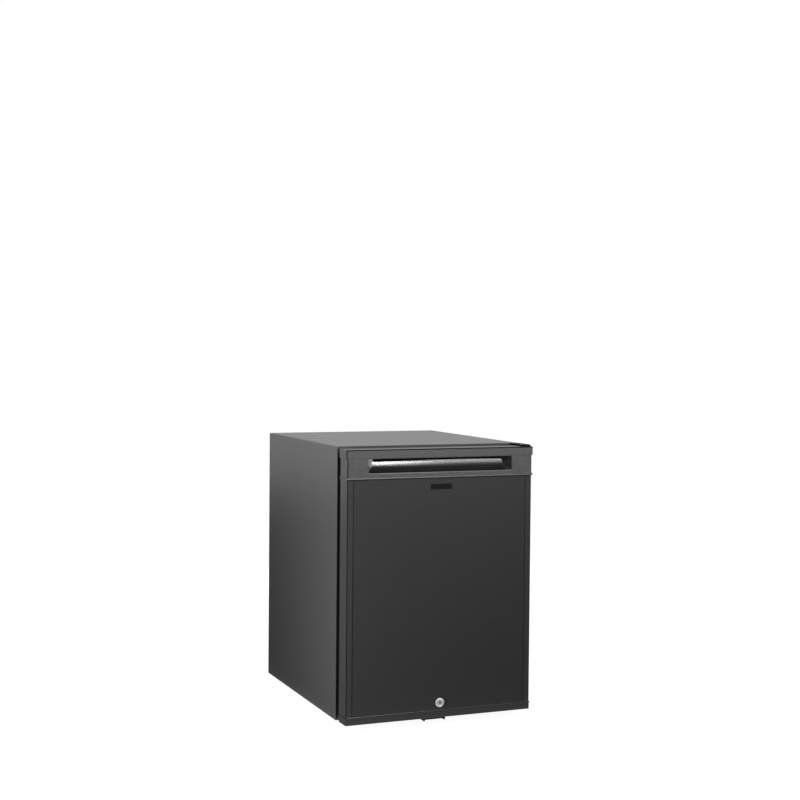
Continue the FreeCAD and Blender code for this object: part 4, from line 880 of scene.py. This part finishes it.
def gap_shade_edging():
    """A thin black strip on the cabinet's folded front edge, which paints the shade in the gap behind the
    door.
    """
    shell = Span("cabinet_shell")
    inner_x = Span("front_frame").right + EDGING_FROM_FRAME
    outer_x = shell.right - EDGING_INSET
    bm = bmesh.new()
    for side in ((-outer_x, -inner_x), (inner_x, outer_x)):
        bar(bm, side, (shell.front - EDGING_PROUD, shell.front + EDGING_SUNK),
            (shell.low + EDGING_END_INSET, shell.high - EDGING_END_INSET))
    finish_piece("gap_shade_edging", bm, "frame_grey", "cabinet", smooth=False)


gap_shade_edging()


KEEPER_FLANGE = 2
KEEPER_FLANGE_TALL = 4.6
KEEPER_EDGE_TALL = 1.8
KEEPER_EDGE_THICK = 1.25


def keeper_edge():
    """The turned-down front edge of the keeper, which shows as a dark strip under the door."""
    keeper = Span("lock_keeper")
    half = keeper.right - KEEPER_FLANGE
    under = keeper.low + KEEPER_FLANGE_TALL
    bm = bmesh.new()
    bar(bm, (-half, half), (keeper.front, keeper.front + KEEPER_EDGE_THICK),
        (under - KEEPER_EDGE_TALL, under))
    finish_piece("keeper_edge", bm, "seal_rubber", "cabinet", smooth=False)


keeper_edge()


RIDGE_SIDES = 12
# Half length, how far the ridge's centre lies in from the moulding's front, height and radius; the ridges
# are light grey to paint the highlight lines along these edges
BEAD_RIDGE = (202.4, 0.2, 499.9, 0.32)
SCOOP_RIDGE = (156.0, 1.0, 509.2, 0.34)
TRIM_RIDGE = (200.0, 0.9, 31.1, 0.16)


def highlight_ridge_lines():
    """Light-grey rounded ridges along the bead, the lip under the scoop and the trim's top edge; the light
    grey paints the highlight lines these edges catch.
    """
    bm = bmesh.new()
    for half, depth, z, radius in (BEAD_RIDGE, SCOOP_RIDGE, TRIM_RIDGE):
        sweep_ring(bm, [mm(x, moulding.front + depth, z) for x in (-half, 0, half)], radius, RIDGE_SIDES)
    # The light grey on the dark door is a painted highlight along each ridge.
    finish_piece("highlight_ridge_lines", bm, "knob_grey", "door")


highlight_ridge_lines()


# Floor, world, cards and lamps, in metres

WORLD_LIGHT = 0.06
WHITE = (1, 1, 1, 1)
BLACK = (0, 0, 0, 1)
FLOOR_REACH = 3.0
FLOOR_CELLS = 24
FLOOR_Z = -0.0003
FLOOR_GREY = (0.4, 0.4, 0.4, 1)
GLOW_SHARE = 0.5
# Between these two distances from the middle, the floor's glow goes from the first strength to the second
GLOW_DISTANCES = (0.35, 0.9)
GLOW_STRENGTHS = (1.9, 2.05)


def light_path_mix(tree, plain, shown):
    """Joins two shaders: the second is what camera, mirror and glass rays see."""
    path = tree.nodes.new("ShaderNodeLightPath")
    share = path.outputs["Is Camera Ray"]
    for ray in ("Is Glossy Ray", "Is Transmission Ray"):
        most = tree.nodes.new("ShaderNodeMath")
        most.operation = "MAXIMUM"
        tree.links.new(share, most.inputs[0])
        tree.links.new(path.outputs[ray], most.inputs[1])
        share = most.outputs[0]
    mix = tree.nodes.new("ShaderNodeMixShader")
    tree.links.new(share, mix.inputs[0])
    tree.links.new(plain, mix.inputs[1])
    tree.links.new(shown, mix.inputs[2])
    return mix.outputs[0]


def add_world():
    world = bpy.data.worlds.new("studio")
    scene.world = world
    world.use_nodes = True
    tree = world.node_tree
    plain = tree.nodes["Background"]
    plain.inputs["Color"].default_value = WHITE
    plain.inputs["Strength"].default_value = WORLD_LIGHT
    shown = tree.nodes.new("ShaderNodeBackground")
    shown.inputs["Color"].default_value = WHITE
    shown.inputs["Strength"].default_value = 1.0
    out = tree.nodes["World Output"]
    tree.links.new(light_path_mix(tree, plain.outputs[0], shown.outputs[0]), out.inputs["Surface"])


def floor_material():
    """Pale and plain to the light, and a white that keeps the shadow to the camera and to mirrors."""
    mat = bpy.data.materials.new("floor_white")
    mat.use_nodes = True
    tree = mat.node_tree
    tree.nodes.remove(tree.nodes["Principled BSDF"])
    diffuse = tree.nodes.new("ShaderNodeBsdfDiffuse")
    diffuse.inputs["Color"].default_value = FLOOR_GREY
    glow = tree.nodes.new("ShaderNodeEmission")
    glow.inputs["Color"].default_value = WHITE
    coord = tree.nodes.new("ShaderNodeTexCoord")
    distance = tree.nodes.new("ShaderNodeVectorMath")
    distance.operation = "LENGTH"
    tree.links.new(coord.outputs["Object"], distance.inputs[0])
    spread = tree.nodes.new("ShaderNodeMapRange")
    for key, value in zip(("From Min", "From Max", "To Min", "To Max"), GLOW_DISTANCES + GLOW_STRENGTHS):
        spread.inputs[key].default_value = value
    tree.links.new(distance.outputs["Value"], spread.inputs["Value"])
    tree.links.new(spread.outputs["Result"], glow.inputs["Strength"])
    shown = tree.nodes.new("ShaderNodeMixShader")
    shown.inputs[0].default_value = GLOW_SHARE
    tree.links.new(diffuse.outputs[0], shown.inputs[1])
    tree.links.new(glow.outputs[0], shown.inputs[2])
    out = tree.nodes["Material Output"]
    tree.links.new(light_path_mix(tree, diffuse.outputs[0], shown.outputs[0]), out.inputs["Surface"])
    return mat


def add_stage(name, mesh, material):
    mesh.materials.append(material)
    thing = bpy.data.objects.new(name, mesh)
    scene.collection.objects.link(thing)
    return thing


def add_floor():
    bm = bmesh.new()
    places = [FLOOR_REACH * (2 * i / FLOOR_CELLS - 1) for i in range(FLOOR_CELLS + 1)]
    rows = [[bm.verts.new((x, y, FLOOR_Z)) for y in places] for x in places]
    for row, after in zip(rows, rows[1:]):
        for j in range(FLOOR_CELLS):
            bm.faces.new((row[j], after[j], after[j + 1], row[j + 1]))
    mesh = bpy.data.meshes.new("floor")
    bm.to_mesh(mesh)
    bm.free()
    add_stage("floor", mesh, floor_material())


def add_card(name, corners, rise):
    """A black studio card, bent up along its last edge, that only darkens what the paint mirrors."""
    points = [Vector(corner) for corner in corners]
    points += [points[2] + Vector((0, 0, rise)), points[3] + Vector((0, 0, rise))]
    mesh = bpy.data.meshes.new(name)
    mesh.from_pydata(points, [], [(0, 1, 2, 3), (3, 2, 4, 5)])
    mat = bpy.data.materials.new(name)
    mat.use_nodes = True
    shader = mat.node_tree.nodes["Principled BSDF"]
    shader.inputs["Base Color"].default_value = BLACK
    shader.inputs["Specular IOR Level"].default_value = 0
    card = add_stage(name, mesh, mat)
    card.visible_camera = False
    card.visible_diffuse = False
    card.visible_transmission = False
    card.visible_shadow = False


def add_lamp(name, place, target, wide, tall, watts, mirrored=True):
    data = bpy.data.lights.new(name, "AREA")
    data.shape = "RECTANGLE"
    data.size = wide
    data.size_y = tall
    data.energy = watts
    lamp = bpy.data.objects.new(name, data)
    lamp.visible_camera = False
    lamp.visible_glossy = mirrored
    lamp.location = place
    lamp.rotation_euler = (Vector(target) - Vector(place)).to_track_quat("-Z", "Y").to_euler()
    scene.collection.objects.link(lamp)


FRONT_CARD = ((-9, -0.3, 0.002), (5, -0.3, 0.002), (5, -3.6, 0.002), (-9, -3.6, 0.002))
FRONT_CARD_RISE = 7
LEFT_CARD = ((-4, -0.3, 0.002), (-0.21, -0.3, 0.002), (-0.21, 1.7, 0.002), (-4, 1.7, 0.002))
LEFT_CARD_RISE = 0.3

# Name, place, what it points at, width, height and watts; the first list doesn't show in gloss
UNSEEN_LAMPS = (
    ("side_near", (-0.80, -0.46, 0.18), (-0.2, -0.25, 0.18), 0.3, 0.6, 10.8),
    ("side_far", (-1.3, -0.1, 0.5), (-0.1, 0, 0.3), 0.8, 0.9, 0.7),
    ("back_low", (0.15, 1.9, 0.40), (0, 0.25, 0.3), 1.4, 0.2, 12.0),
)
LAMPS = (
    ("front_over", (-0.35, -0.85, 1.0), (-0.1, -0.25, 0.5), 0.6, 0.25, 2.3),
    ("right", (1.4, -0.6, 0.8), (0.1, 0, 0.4), 0.8, 0.8, 2.0),
    ("strip", (0.25, -1.12, 1.06), (-0.1, -0.23, 0.53), 0.17, 0.36, 6.6),
    ("strip_right", (0.80, -1.08, 1.02), (0.0, -0.23, 0.53), 0.9, 0.35, 4.6),
)

add_world()
add_floor()
add_card("front_card", FRONT_CARD, FRONT_CARD_RISE)
add_card("left_card", LEFT_CARD, LEFT_CARD_RISE)
for lamp_values in UNSEEN_LAMPS:
    add_lamp(*lamp_values, mirrored=False)
for lamp_values in LAMPS:
    add_lamp(*lamp_values)
